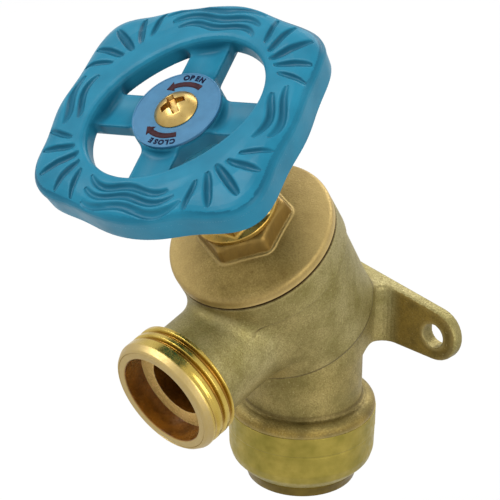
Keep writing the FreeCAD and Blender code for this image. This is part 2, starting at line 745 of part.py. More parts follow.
def handle_screw():
    """Domed screw with a cross recess, through the hub into the stem."""
    head = rod(HANDLE_SCREW_HEAD, LABEL_TOP, LABEL_TOP + HANDLE_SCREW_HEAD_HEIGHT)
    dome_radius = (HANDLE_SCREW_HEAD ** 2 + HANDLE_SCREW_HEAD_HEIGHT ** 2) / (2 * HANDLE_SCREW_HEAD_HEIGHT)
    dome = Part.makeSphere(dome_radius, Vector(0, 0, LABEL_TOP + HANDLE_SCREW_HEAD_HEIGHT - dome_radius))
    head = head.common(dome)
    top = LABEL_TOP + HANDLE_SCREW_HEAD_HEIGHT
    for angle in (0, 90):
        slot = Part.makeBox(RECESS_LENGTH, RECESS_WIDTH, 2 * RECESS_DEPTH,
                            Vector(-RECESS_LENGTH / 2, -RECESS_WIDTH / 2, top - RECESS_DEPTH))
        slot.rotate(Vector(0, 0, 0), UP, angle + RECESS_ANGLE)
        head = head.cut(slot)
    shank = rod(HANDLE_SCREW_RADIUS, LABEL_TOP - HANDLE_SCREW_LENGTH, LABEL_TOP + 0.5)
    return on_bonnet(head.fuse(shank).removeSplitter())


PARTS = {
    "valve_body": valve_body,
    "socket_cap": socket_cap,
    "release_collar": release_collar,
    "grab_ring": grab_ring,
    "seal_spacer": seal_spacer,
    "pipe_o_ring": pipe_o_ring,
    "pipe_liner": pipe_liner,
    "bonnet_gasket": bonnet_gasket,
    "bonnet": bonnet,
    "stem_packing": stem_packing,
    "packing_washer": packing_washer,
    "packing_nut": packing_nut,
    "stem": stem,
    "seat_washer": seat_washer,
    "washer_screw": washer_screw,
    "handwheel": handwheel,
    "label_plate": label_plate,
    "handle_screw": handle_screw,
}

os.makedirs("parts", exist_ok=True)
for name, build in PARTS.items():
    shape = build()
    shape.exportStep("parts/" + name + ".step")
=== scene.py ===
import math

import bpy
import numpy as np
from mathutils import Matrix, Vector


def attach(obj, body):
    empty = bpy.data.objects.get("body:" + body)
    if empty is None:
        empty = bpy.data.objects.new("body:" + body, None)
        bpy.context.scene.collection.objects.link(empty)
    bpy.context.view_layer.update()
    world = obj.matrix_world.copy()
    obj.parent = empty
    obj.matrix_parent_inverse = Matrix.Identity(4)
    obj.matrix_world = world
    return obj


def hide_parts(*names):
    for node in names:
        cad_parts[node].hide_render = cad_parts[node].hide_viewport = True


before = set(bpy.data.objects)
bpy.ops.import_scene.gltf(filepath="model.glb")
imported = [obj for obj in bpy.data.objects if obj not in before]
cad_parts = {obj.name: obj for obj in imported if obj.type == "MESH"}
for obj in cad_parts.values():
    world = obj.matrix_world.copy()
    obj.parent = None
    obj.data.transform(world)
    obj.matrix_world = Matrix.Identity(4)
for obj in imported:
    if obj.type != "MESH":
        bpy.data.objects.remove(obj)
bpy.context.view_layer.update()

# Everything below is drawn in millimetres and scaled by MM when a mesh is made.
MM = 0.001
F = np.float32


# Axes of the valve: the chamber leans forward from where it crosses the pipe, and the outlet drops

LEAN, OUTLET_DROP = 32.4, 16.0
CROSSING = 38.2
SEAM_DISTANCE, OUTLET_RISE = 30.6, 10.9


class Axes:
    """A frame turned about X: its rows are the local x, y and z directions."""

    def __init__(self, origin, turn):
        a = math.radians(turn)
        self.origin = np.array(origin, F)
        self.rows = np.array([[1, 0, 0], [0, math.cos(a), math.sin(a)], [0, -math.sin(a), math.cos(a)]], F)

    def local(self, p):
        return (p - self.origin) @ self.rows.T

    def world(self, q):
        return q @ self.rows + self.origin

    def turn(self, v):
        return v @ self.rows


def up_chamber(distance):
    """Point on the chamber's axis, so far above where it crosses the pipe's."""
    a = math.radians(LEAN)
    return 0, -distance * math.sin(a), CROSSING + distance * math.cos(a)


# Local z, called s below, is the height over the seam in BONNET and the way out in OUTLET.
BONNET = Axes(up_chamber(SEAM_DISTANCE), LEAN)
OUTLET = Axes(up_chamber(OUTLET_RISE), 90 + OUTLET_DROP)
PIPE = Axes((0, 0, 0), 0.0)


# Signed distances

def polygon(px, py, points):
    """Distance to a closed polygon, negative inside."""
    best = np.full(px.shape, 1e9, F)
    sign = np.ones(px.shape, F)
    for i, (ax, ay) in enumerate(points):
        bx, by = points[i - 1]
        ex, ey = bx - ax, by - ay
        if ex == 0 and ey == 0:
            continue
        wx, wy = px - F(ax), py - F(ay)
        t = np.clip((wx * F(ex) + wy * F(ey)) / F(ex * ex + ey * ey), 0, 1)
        best = np.minimum(best, (wx - F(ex) * t) ** 2 + (wy - F(ey) * t) ** 2)
        above = py >= ay
        below = py < by
        side = ex * wy > ey * wx
        flip = (above & below & side) | (~above & ~below & ~side)
        sign = np.where(flip, -sign, sign)
    return sign * np.sqrt(best)


def join(a, b, k):
    """Union with a hollow fillet about k wide."""
    h = np.clip(0.5 + 0.5 * (b - a) / F(k), 0, 1)
    return b + (a - b) * h - F(k) * h * (1 - h)


def meet(a, b, k):
    """Common part, its edge rounded about k wide."""
    return -join(-a, -b, k)


def band(value, middle, half, top=1.4):
    """1 near the middle, falling to 0 at top times half on either side."""
    return np.clip(top - np.abs(value - middle) / half, 0, 1)


def arc_points(centre, radius, start, end, count=8):
    out = []
    for i in range(count + 1):
        a = math.radians(start + (end - start) * i / count)
        out.append((centre[0] + radius * math.cos(a), centre[1] + radius * math.sin(a)))
    return out


# Meshes from distances

CORNERS = [(a, b, c) for a in (0, 1) for b in (0, 1) for c in (0, 1)]
BLOCK = 8
CHUNK = 600000


def in_chunks(field, p):
    out = np.empty(len(p), F)
    for i in range(0, len(p), CHUNK):
        out[i:i + CHUNK] = field(p[i:i + CHUNK])
    return out


def gradient(field, p, h=0.02):
    g = np.empty_like(p)
    for axis in range(3):
        step = np.zeros(3, F)
        step[axis] = h
        g[:, axis] = in_chunks(field, p + step) - in_chunks(field, p - step)
    return g / F(2 * h)


def sample(field, low, high, cell):
    """Field on a grid over a box, worked out only in the blocks near the surface."""
    counts = np.ceil((np.array(high, F) - low) / (cell * BLOCK)).astype(int)
    blocks = np.indices(counts).reshape(3, -1).T
    middle = in_chunks(field, (low + (blocks + 0.5) * cell * BLOCK).astype(F))
    values = np.where(middle < 0, F(-1), F(1)).reshape(counts)
    for axis in range(3):
        values = np.repeat(values, BLOCK, axis)
    values = np.pad(values, ((0, 1),) * 3, mode="edge")
    near = blocks[np.abs(middle) < cell * BLOCK * 1.1]
    offsets = np.indices((BLOCK + 1,) * 3).reshape(3, -1).T
    for i in range(0, len(near), 800):
        index = (near[i:i + 800, None, :] * BLOCK + offsets[None]).reshape(-1, 3)
        values[tuple(index.T)] = in_chunks(field, (low + index * F(cell)).astype(F))
    return values


def cell_points(values, cells):
    """For each cell, the mean place where its edges cross the surface, in cells."""
    sums = np.zeros((len(cells), 3), F)
    hits = np.zeros(len(cells), F)
    for first in CORNERS:
        for axis in range(3):
            if first[axis]:
                continue
            second = list(first)
            second[axis] = 1
            va = values[tuple((cells + first).T)]
            vb = values[tuple((cells + second).T)]
            cut = (va < 0) != (vb < 0)
            point = np.array(first, F) + np.zeros((len(cells), 3), F)
            point[:, axis] = np.where(cut, va / np.where(cut, va - vb, 1), 0)
            sums += np.where(cut[:, None], point, 0)
            hits += cut
    return cells + sums / hits[:, None]


def cell_quads(inside, number):
    """One quad for each grid edge that crosses the surface, through the four cells round it."""
    shape = inside.shape
    quads = []
    for axis in range(3):
        u, v = (axis + 1) % 3, (axis + 2) % 3
        before = np.take(inside, range(shape[axis] - 1), axis)
        after = np.take(inside, range(1, shape[axis]), axis)
        change = np.argwhere(before != after)
        ok = (change[:, u] > 0) & (change[:, v] > 0)
        ok &= (change[:, u] < shape[u] - 1) & (change[:, v] < shape[v] - 1)
        change = change[ok]
        ring = []
        for du, dv in ((-1, -1), (0, -1), (0, 0), (-1, 0)):
            beside = change.copy()
            beside[:, u] += du
            beside[:, v] += dv
            ring.append(number[tuple(beside.T)])
        ring = np.array(ring).T
        leaving = before[tuple(change.T)]
        quads.append(np.where(leaving[:, None], ring, ring[:, ::-1]))
    return np.vstack(quads)


def surface(field, low, high, cell):
    """Points and quads of the zero surface of field in a box."""
    low = np.array(low, F)
    values = sample(field, low, high, cell)
    inside = values < 0
    nx, ny, nz = np.array(inside.shape) - 1
    total = sum(inside[a:nx + a, b:ny + b, c:nz + c].astype(np.int8) for a, b, c in CORNERS)
    crossing = (total > 0) & (total < 8)
    cells = np.argwhere(crossing)
    number = np.full(crossing.shape, -1, np.int32)
    number[crossing] = np.arange(len(cells))
    points = (low + cell_points(values, cells) * F(cell)).astype(F)
    for _ in range(2):
        slope = gradient(field, points)
        steep = np.maximum((slope ** 2).sum(1), 0.25)
        step = np.clip(in_chunks(field, points) / steep, -cell * 0.5, cell * 0.5)
        points = points - slope * step[:, None]
    return points, cell_quads(inside, number)


def finish_mesh(name, points, faces, normals, marks, body, material, nodes):
    """One piece: points in millimetres, unit normals, and named marks for its material."""
    mesh = bpy.data.meshes.new(name)
    mesh.from_pydata((points * MM).tolist(), [], faces.tolist() if isinstance(faces, np.ndarray) else faces)
    mesh.shade_smooth()
    if normals is not None:
        mesh.normals_split_custom_set_from_vertices(normals.tolist())
    for mark, values in (marks or {}).items():
        layer = mesh.attributes.new(mark, "FLOAT", "POINT")
        layer.data.foreach_set("value", np.asarray(values, F))
    piece = bpy.data.objects.new(name, mesh)
    bpy.context.scene.collection.objects.link(piece)
    mesh.materials.append(material)
    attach(piece, body)
    if nodes:
        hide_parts(*nodes)
    return piece


def carve(name, field, low, high, cell, axes, body, material, nodes, hollow=1.2, marks=None):
    """A piece from a distance field in its own axes, with marks for its hollows and edges."""
    points, quads = surface(field, low, high, cell)
    slope = gradient(field, points, 0.05)
    normals = slope / np.maximum(np.linalg.norm(slope, axis=1), 1e-6)[:, None]
    cavity = np.clip((hollow - in_chunks(field, points + normals * F(hollow))) / hollow, 0, 1)
    edge = np.clip((hollow + in_chunks(field, points - normals * F(hollow))) / hollow, 0, 1)
    made = {"cavity": cavity, "edge": edge}
    for mark, rule in (marks or {}).items():
        made[mark] = rule(points, normals)
    finish_mesh(name, axes.world(points), quads, axes.turn(normals), made, body, material, nodes)


# Turned pieces

SEGMENTS = 256


def soften(profile, radius, steps=4):
    """Closed profile of (r, s) or (r, s, corner radius), in right-hand order, to points with normals."""
    out = []
    for i, corner in enumerate(profile):
        here = np.array(corner[:2])
        size = corner[2] if len(corner) > 2 else radius
        back = np.array(profile[i - 1][:2]) - here
        on = np.array(profile[(i + 1) % len(profile)][:2]) - here
        back_length, on_length = np.linalg.norm(back), np.linalg.norm(on)
        back, on = back / back_length, on / on_length
        half = math.acos(float(np.clip(back @ on, -1, 1))) / 2
        first_normal = np.array([-back[1], back[0]])
        last_normal = np.array([on[1], -on[0]])
        if half > math.radians(89):
            out.append((here, last_normal))
            continue
        cut = min(size / math.tan(half), 0.45 * back_length, 0.45 * on_length)
        size = cut * math.tan(half)
        first, last = here + back * cut, here + on * cut
        cross = first_normal[0] * last_normal[1] - first_normal[1] * last_normal[0]
        turn = math.atan2(cross, first_normal @ last_normal)
        side = size * math.copysign(1, turn)
        centre = first - first_normal * side
        for k in range(steps):
            cos, sin = math.cos(turn * k / steps), math.sin(turn * k / steps)
            normal = np.array([[cos, -sin], [sin, cos]]) @ first_normal
            out.append((centre + normal * side, normal))
        out.append((last, last_normal))
    return out


def ring_quads(rows, segments):
    """Quads between closed rings of points, the last ring joined to the first."""
    a = np.arange(rows * segments).reshape(rows, segments)
    b = np.roll(a, -1, 0)
    return np.stack([a, np.roll(a, -1, 1), np.roll(b, -1, 1), b], -1).reshape(-1, 4)


def lathe(name, profile, radius, axes, body, material, nodes):
    """A turned piece: profile runs up the outside and down the bore."""
    line = soften(profile, radius)
    angles = np.arange(SEGMENTS) * 2 * math.pi / SEGMENTS
    cos, sin = np.cos(angles), np.sin(angles)
    points, normals = [], []
    for (r, s), (nr, ns) in line:
        points.append(np.stack([r * cos, r * sin, np.full(SEGMENTS, s)], 1))
        normals.append(np.stack([nr * cos, nr * sin, np.full(SEGMENTS, ns)], 1))
    points, normals = np.vstack(points).astype(F), np.vstack(normals).astype(F)
    finish_mesh(name, axes.world(points), ring_quads(len(line), SEGMENTS), axes.turn(normals), None,
                body, material, nodes)


# Materials

class Shade:
    """Short forms for building one procedural material."""

    def __init__(self, name, metallic, roughness):
        self.material = bpy.data.materials.new(name)
        self.material.use_nodes = True
        self.tree = self.material.node_tree
        self.shader = self.tree.nodes["Principled BSDF"]
        self.shader.inputs["Metallic"].default_value = metallic
        self.shader.inputs["Roughness"].default_value = roughness
        self.place = self.node("ShaderNodeTexCoord").outputs["Object"]

    def node(self, kind, **settings):
        made = self.tree.nodes.new(kind)
        for key, value in settings.items():
            setattr(made, key, value)
        return made

    def link(self, source, target):
        self.tree.links.new(source, target)

    def noise(self, size, detail=3.0, rough=0.55, stretch=None):
        """Noise whose features are about size millimetres across."""
        made = self.node("ShaderNodeTexNoise")
        made.inputs["Scale"].default_value = 1 / (size * MM)
        made.inputs["Detail"].default_value = detail
        made.inputs["Roughness"].default_value = rough
        place = self.place
        if stretch:
            move = self.node("ShaderNodeMapping")
            move.inputs["Scale"].default_value = stretch
            self.link(place, move.inputs["Vector"])
            place = move.outputs["Vector"]
        self.link(place, made.inputs["Vector"])
        return made.outputs["Fac"]

    def span(self, value, low, high, out_low=0.0, out_high=1.0):
        made = self.node("ShaderNodeMapRange", clamp=True)
        made.inputs["From Min"].default_value = low
        made.inputs["From Max"].default_value = high
        made.inputs["To Min"].default_value = out_low
        made.inputs["To Max"].default_value = out_high
        self.link(value, made.inputs["Value"])
        return made.outputs["Result"]

    def mark(self, name):
        return self.node("ShaderNodeAttribute", attribute_name=name).outputs["Fac"]

    def math(self, operation, a, b):
        made = self.node("ShaderNodeMath", operation=operation)
        for socket, value in zip(made.inputs, (a, b)):
            if isinstance(value, (int, float)):
                socket.default_value = value
            else:
                self.link(value, socket)
        return made.outputs[0]

    def mix(self, factor, a, b):
        made = self.node("ShaderNodeMix", data_type="RGBA")
        sockets = [made.inputs[0], made.inputs[6], made.inputs[7]]
        for socket, value in zip(sockets, (factor, a, b)):
            if isinstance(value, (int, float)):
                socket.default_value = value
            elif isinstance(value, tuple):
                socket.default_value = (*value, 1)
            else:
                self.link(value, socket)
        return made.outputs[2]

    def specular(self, level):
        self.shader.inputs["Specular IOR Level"].default_value = level

    def color(self, source):
        self.link(source, self.shader.inputs["Base Color"])

    def roughness(self, source):
        self.link(source, self.shader.inputs["Roughness"])

    def metallic(self, source):
        self.link(source, self.shader.inputs["Metallic"])

    def bump(self, *layers):
        """Layers of (height, depth in millimetres, strength)."""
        normal = None
        for height, depth, strength in layers:
            made = self.node("ShaderNodeBump")
            made.inputs["Distance"].default_value = depth * MM
            made.inputs["Strength"].default_value = strength
            self.link(height, made.inputs["Height"])
            if normal is not None:
                self.link(normal, made.inputs["Normal"])
            normal = made.outputs["Normal"]
        self.link(normal, self.shader.inputs["Normal"])


def linear(*rgb):
    """Colour as seen on screen, 0 to 255, to the linear values that nodes take."""
    out = []
    for value in rgb:
        v = value / 255
        out.append(v / 12.92 if v <= 0.04045 else ((v + 0.055) / 1.055) ** 2.4)
    return tuple(out)


# Colour of dark joint lines and of painted shade lines.
JOINT_AND_SHADE = linear(58, 40, 14)


def cast_brass(name, light, dark, stain_and_shade, bare_and_highlight, polish=None, underside_shade=None):
    """Sand-cast brass: fine grain, broad tone changes, specks, glints, hollows darkened with painted shade,
    and edges painted lighter, partly as rubbed metal and partly as painted highlight.
    """
    s = Shade(name, 0.65, 0.5)
    s.specular(0.3)
    broad = s.span(s.noise(9.0, 3.0, 0.6), 0.36, 0.64)
    patch = s.span(s.noise(4.5, 3.0, 0.65), 0.5, 0.66)
    middle = s.span(s.noise(1.0, 4.0, 0.65), 0.32, 0.68)
    grain = s.noise(0.36, 2.0, 0.7)
    color = s.mix(broad, light, dark)
    # Painted shade: a warmer, darker colour on the ears' plates, low down and on all that faces down.
    if underside_shade:
        color = s.mix(s.math("MULTIPLY", s.mark("underside_shade"), 0.85), color, s.mix(broad, underside_shade, stain_and_shade))
    color = s.mix(s.math("MULTIPLY", patch, 0.14), color, stain_and_shade)
    color = s.mix(s.math("MULTIPLY", middle, 0.24), color, stain_and_shade)
    color = s.mix(s.span(grain, 0.34, 0.66, 0.0, 0.5), color, stain_and_shade)
    specks = s.span(s.noise(0.8, 2.0, 0.6), 0.66, 0.73, 0.0, 0.5)
    color = s.mix(specks, color, stain_and_shade)
    glints = s.span(s.noise(0.5, 1.0, 0.5), 0.66, 0.74, 0.0, 0.12 if polish else 0.3)
    color = s.mix(glints, color, bare_and_highlight)
    # Painted shade in hollows and creases.
    color = s.mix(s.span(s.mark("cavity"), 0.2, 0.85, 0.0, 0.75), color, stain_and_shade)
    # Edges painted lighter: partly rubbed metal, partly painted highlight.
    color = s.mix(s.span(s.mark("edge"), 0.2, 0.9, 0.0, 0.35), color, bare_and_highlight)
    # Painted light on the dome's two sides; rubbed metal along its rim and round the hexagon's foot.
    if polish:
        color = s.mix(s.mark("wear_and_painted_light"), color, bare_and_highlight)
    # Painted dark lines: the gasket joint, and painted shade under ledges and in creases.
    color = s.mix(s.mark("seam_and_shade"), color, JOINT_AND_SHADE)
    rough = s.span(grain, 0.3, 0.7, 0.44, 0.6)
    if polish:
        streak = s.span(s.noise(1.6, 3.0, 0.6, (1, 1, 0.4)), 0.3, 0.7, 0.0, 0.5)
        color = s.mix(s.mark("polish"), color, s.mix(streak, polish, stain_and_shade))
        rough = s.mix(s.mark("polish"), rough, s.span(streak, 0.0, 0.5, 0.32, 0.44))
    s.color(color)
    s.roughness(rough)
    pits = s.span(s.noise(0.7, 3.0, 0.6), 0.25, 0.42)
    layers = [(s.noise(3.5, 2.0), 0.3, 0.4), (s.noise(1.2, 2.0), 0.08, 0.4)]
    layers += [(grain, 0.07, 0.85), (pits, 0.06, 0.4)]
    if polish:
        calm = s.span(s.mark("polish"), 0.0, 1.0, 1.0, 0.12)
        layers = [(s.math("MULTIPLY", height, calm), depth, power) for height, depth, power in layers]
    s.bump(*layers)
    return s.material


def turned_brass(name, tone, shade, roughness, lines, stain_and_shade=None):
    """Machined brass with faint tool rings, its hollows darkened with painted shade."""
    s = Shade(name, 1.0, roughness)
    broad = s.span(s.noise(5.0, 2.0), 0.3, 0.7)
    fine = s.noise(0.5, 3.0, 0.6)
    color = s.mix(broad, tone, shade)
    color = s.mix(s.span(fine, 0.45, 0.8, 0.0, 0.3), color, shade)
    # Painted shade in hollows.
    if stain_and_shade:
        color = s.mix(s.span(s.mark("cavity"), 0.05, 0.9, 0.0, 0.92), color, stain_and_shade)
    s.color(color)
    s.roughness(s.span(s.noise(1.4, 3.0), 0.3, 0.7, roughness * 0.8, roughness * 1.35))
    s.bump((s.noise(0.35, 2.0, 0.6, lines), 0.02, 0.35), (fine, 0.012, 0.25))
    return s.material


def outlet_brass(name, tone, shade, pale, shaded_wall, wall_deep, step):
    """Bright thread with painted shade in its grooves, pale satin end face, mouth walls painted brown as
    painted shade, and a light inner step.
    """
    s = Shade(name, 1.0, 0.3)
    broad = s.span(s.noise(4.0, 2.0), 0.3, 0.7)
    fine = s.noise(0.5, 3.0, 0.6)
    color = s.mix(s.math("MULTIPLY", broad, 0.7), tone, shade)
    # Painted shade in the thread's grooves.
    color = s.mix(s.math("MULTIPLY", s.mark("groove"), 0.8), color, shaded_wall)
    color = s.mix(s.mark("face"), color, s.mix(s.span(fine, 0.4, 0.7, 0.0, 0.25), pale, shade))
    # Painted shade inside the mouth: darker brown walls, less metallic.
    inner = s.mix(s.span(s.noise(3.2, 3.0, 0.6, (1, 1, 0.6)), 0.38, 0.66), shaded_wall, wall_deep)
    inner = s.mix(s.mark("step"), inner, step)
    s.color(s.mix(s.mark("inner"), color, inner))
    s.metallic(s.span(s.mark("inner"), 0.0, 1.0, 1.0, 0.2))
    satin = s.math("MULTIPLY", s.mark("face"), 0.2)
    s.roughness(s.math("ADD", s.span(s.noise(1.4, 3.0), 0.3, 0.7, 0.2, 0.32), satin))
    s.bump((s.noise(0.35, 2.0, 0.6, (1, 1, 6)), 0.02, 0.3), (fine, 0.01, 0.2))
    return s.material


def enamel(name, tone, deep):
    """Thick satin paint, darker in its hollows: painted shade."""
    s = Shade(name, 0.0, 0.38)
    s.specular(0.11)
    color = s.mix(s.span(s.noise(7.0, 2.0), 0.3, 0.7, 0.0, 0.35), tone, deep)
    # Painted shade in hollows.
    color = s.mix(s.span(s.mark("cavity"), 0.05, 0.6, 0.0, 0.8), color, deep)
    s.color(color)
    s.roughness(s.span(s.noise(3.0, 2.0), 0.3, 0.7, 0.3, 0.42))
    s.bump((s.noise(2.2, 2.0), 0.12, 0.22), (s.noise(0.55, 2.0), 0.015, 0.25))
    return s.material


def plain(name, tone, deep, roughness, size, depth, metallic=0.0, shine=0.3):
    """One tone that drifts to another over about size millimetres."""
    s = Shade(name, metallic, roughness)
    s.specular(shine)
    s.color(s.mix(s.span(s.noise(size, 3.0), 0.35, 0.7), tone, deep))
    s.bump((s.noise(size * 0.4, 2.0), depth, 0.4))
    return s.material


CASTING = cast_brass("cast_brass", light=linear(168, 158, 108), dark=linear(142, 134, 78),
                     stain_and_shade=linear(98, 80, 36), bare_and_highlight=linear(200, 184, 128), underside_shade=linear(160, 132, 54))
COVER = cast_brass("bonnet_brass", light=linear(158, 136, 78), dark=linear(136, 115, 60),
                   stain_and_shade=linear(98, 76, 32), bare_and_highlight=linear(214, 186, 122), polish=linear(142, 114, 56))
CAP = turned_brass("cap_brass", linear(166, 148, 72), linear(136, 124, 54), 0.44, (1, 1, 9))
COLLAR = turned_brass("collar_brass", linear(118, 100, 42), linear(92, 76, 30), 0.4, (1, 1, 9))
NUT = turned_brass("nut_brass", linear(194, 164, 88), linear(152, 120, 56), 0.28, (1, 1, 6))
SCREW = turned_brass("screw_brass", linear(190, 164, 102), linear(164, 134, 74), 0.3, (1, 1, 1),
                     stain_and_shade=linear(136, 76, 20))
THREAD = outlet_brass("thread_brass", linear(198, 172, 88), linear(172, 144, 60), pale=linear(178, 156, 104),
                      shaded_wall=linear(124, 76, 18), wall_deep=linear(88, 50, 10), step=linear(226, 192, 116))
PAINT = enamel("blue_enamel", linear(34, 118, 145), linear(16, 78, 102))
LABEL = plain("label_blue", linear(56, 112, 148), linear(48, 102, 136), 0.34, 2.5, 0.01)
INK = plain("label_navy", linear(14, 22, 50), linear(8, 14, 38), 0.6, 1.0, 0.005, shine=0.06)
ARROW = plain("label_brown", linear(62, 34, 38), linear(46, 26, 32), 0.6, 1.0, 0.005, shine=0.1)
RUBBER = plain("black_rubber", linear(34, 34, 34), linear(22, 22, 22), 0.6, 1.0, 0.02)
FIBRE = plain("dark_fibre", linear(40, 28, 12), linear(24, 16, 7), 0.95, 0.6, 0.03)
STEEL = plain("bright_steel", linear(200, 200, 204), linear(168, 168, 172), 0.28, 0.8, 0.01, metallic=1.0)
ACETAL = plain("grey_acetal", linear(150, 152, 156), linear(134, 136, 140), 0.45, 1.5, 0.01)


# Casting

# Solid profiles start this far behind the axis, so that the axis itself shows no edge.
PAST = -4

CHAMBER_RADIUS, CHAMBER_BORE, CHAMBER_DEPTH, CHAMBER_FLOOR = 18.5, 13.5, 28.0, 24.0
SEAM_BEVEL, BAND_DEPTH, WAIST_RADIUS = 0.3, 6.85, 17.9
CHAMBER_END, END_BEVEL = 17.3, 0.4
SEAT_RADIUS, SEAT_TOP, SEAT_BORE = 9.5, 22.4, 7.5
CHAMBER = [(PAST, 0), (CHAMBER_RADIUS - SEAM_BEVEL, 0), (CHAMBER_RADIUS, -SEAM_BEVEL),
           (CHAMBER_RADIUS, -BAND_DEPTH), (WAIST_RADIUS, -BAND_DEPTH - 0.5),
           (CHAMBER_END, END_BEVEL - CHAMBER_DEPTH), (CHAMBER_END - END_BEVEL, -CHAMBER_DEPTH),
           (PAST, -CHAMBER_DEPTH)]
CHAMBER_HOLE = [(PAST, 2), (CHAMBER_BORE, 2), (CHAMBER_BORE, -CHAMBER_FLOOR), (SEAT_RADIUS, -CHAMBER_FLOOR),
                (SEAT_RADIUS, -SEAT_TOP - 0.5), (SEAT_RADIUS - 0.5, -SEAT_TOP), (SEAT_BORE, -SEAT_TOP),
                (SEAT_BORE, -SEAM_DISTANCE), (PAST, -SEAM_DISTANCE)]

TUBE_RADIUS, TUBE_BOTTOM, CAP_TOP = 15.45, 12.8, 17.2
SHOULDER_RADIUS, SHOULDER_BEND, SHOULDER_TOP = 16.6, 2.2, 20.1
NECK_RADIUS, NECK_TOP = 13.4, 60.0
NECK_FOOT = [(0.8, 0), (0.35, 0.15), (0.1, 0.5), (0, 1)]
GLAND_RADIUS, GLAND_TOP, GUIDE_RADIUS, PIPE_STOP, PASSAGE = 13.4, 16.3, 11.3, 26.0, 8.0
STAND = [(PAST, TUBE_BOTTOM), (TUBE_RADIUS, TUBE_BOTTOM), (TUBE_RADIUS, CAP_TOP), (SHOULDER_RADIUS, CAP_TOP),
         (SHOULDER_RADIUS, SHOULDER_TOP - SHOULDER_BEND)] \
    + arc_points((SHOULDER_RADIUS - SHOULDER_BEND, SHOULDER_TOP - SHOULDER_BEND), SHOULDER_BEND, 10, 90, 6) \
    + [(NECK_RADIUS + out, SHOULDER_TOP + up) for out, up in NECK_FOOT] \
    + [(NECK_RADIUS, NECK_TOP), (PAST, NECK_TOP)]
PIPE_HOLE = [(PAST, 11), (GLAND_RADIUS, 11), (GLAND_RADIUS, GLAND_TOP), (GUIDE_RADIUS, GLAND_TOP),
             (GUIDE_RADIUS, PIPE_STOP), (PASSAGE, PIPE_STOP), (PASSAGE, CROSSING), (PAST, CROSSING)]

SPOUT_RADIUS, SPOUT_FLARE, SPOUT_END, SPOUT_FILLET = 11.35, 0.4, 32.9, 3.2
SPOUT = [(PAST, 0), (SPOUT_RADIUS + SPOUT_FLARE, 0), (SPOUT_RADIUS, 16), (SPOUT_RADIUS, SPOUT_END),
         (PAST, SPOUT_END)]
SPOUT_BORE, SPOUT_BORE_START, SLEEVE_BORE, SLEEVE_START = 7.0, 10.5, 7.4, 30.4

EAR_SPAN, EAR_HEIGHT, EAR_RADIUS, EAR_TOP = 25.8, 38.6, 6.0, 48.4
EAR_HOLE, EAR_FRONT, EAR_BACK, EAR_EDGE, EAR_FILLET = 2.8, 13.4, 16.89, 1.2, 2.6
WEB_HALF, WEB_BEND = 11.5, 3.6
ear_slope = math.degrees(math.atan2(EAR_TOP - EAR_HEIGHT - EAR_RADIUS, EAR_SPAN))
EARS = arc_points((EAR_SPAN, EAR_HEIGHT), EAR_RADIUS, -90, 90 - ear_slope, 14) + [(0, EAR_TOP)] \
    + arc_points((-EAR_SPAN, EAR_HEIGHT), EAR_RADIUS, 90 + ear_slope, 270, 14)
web_bend = arc_points((WEB_HALF + WEB_BEND, EAR_FRONT - WEB_BEND), WEB_BEND, 180, 90, 6)
WEB = [(-WEB_HALF, 2), (WEB_HALF, 2)] + web_bend \
    + [(web_bend[-1][0], EAR_BACK), (-web_bend[-1][0], EAR_BACK)] + [(-x, y) for x, y in reversed(web_bend)]


def casting(p):
    x, y, z = p[:, 0], p[:, 1], p[:, 2]
    q, o = BONNET.local(p), OUTLET.local(p)
    around, outlet_r, pipe_r = np.hypot(q[:, 0], q[:, 1]), np.hypot(o[:, 0], o[:, 1]), np.hypot(x, y)
    body = polygon(around, q[:, 2], CHAMBER)
    body = join(body, polygon(outlet_r, o[:, 2], SPOUT), SPOUT_FILLET)
    stand = np.maximum(polygon(pipe_r, z, STAND), q[:, 2] + F(CHAMBER_DEPTH - 0.6))
    body = join(body, stand, 0.15)
    plate = np.abs(y - F((EAR_FRONT + EAR_BACK) / 2)) - F((EAR_BACK - EAR_FRONT) / 2)
    ears = meet(polygon(x, z, EARS), np.minimum(plate, polygon(x, y, WEB)), EAR_EDGE)
    body = np.maximum(join(body, ears, EAR_FILLET), y - F(EAR_BACK))
    holes = np.hypot(np.abs(x) - F(EAR_SPAN), z - F(EAR_HEIGHT)) - F(EAR_HOLE)
    body = meet(body, -holes, 0.15)
    hollow = np.minimum(polygon(around, q[:, 2], CHAMBER_HOLE), polygon(pipe_r, z, PIPE_HOLE))
    hollow = np.minimum(hollow, np.sqrt(x * x + y * y + (z - F(CROSSING)) ** 2) - F(PASSAGE))
    bore = np.where(o[:, 2] > SLEEVE_START, F(SLEEVE_BORE), F(SPOUT_BORE))
    hollow = np.minimum(hollow, np.maximum(outlet_r - bore, F(SPOUT_BORE_START) - o[:, 2]))
    return np.maximum(body, -hollow)


def joint_and_shade_lines(p, normals):
    """Dark lines: the joint under the gasket, deepened with painted shade, and painted shade below the
    band's step, at the chamber's end and in the crease at the neck's foot.
    """
    q = BONNET.local(p)
    r, s = np.hypot(q[:, 0], q[:, 1]), q[:, 2]
    outside = r < CHAMBER_RADIUS + 0.2
    seam_and_shade = band(s, 0, 0.25) * ((r > 17.4) & outside)
    # Painted shadow under the ledge below the band and under the chamber's end, and painted shade in the
    # crease at the neck's foot.
    step = band(s, -BAND_DEPTH - 0.3, 0.3) * ((r > 17.6) & outside) * 0.6
    near_end = (r > CHAMBER_END - 0.7) & (r < CHAMBER_END + 0.3) & (s > -CHAMBER_DEPTH - 0.2)
    end = np.clip((1 - CHAMBER_DEPTH - s) / 0.4, 0, 1) * near_end * 0.75
    near_neck = np.hypot(p[:, 0], p[:, 1]) < NECK_RADIUS + 1.2
    foot = band(p[:, 2], SHOULDER_TOP + 0.6, 0.6, 1.2) * near_neck * 0.5
    return np.maximum(np.maximum(seam_and_shade, step), np.maximum(end, foot))


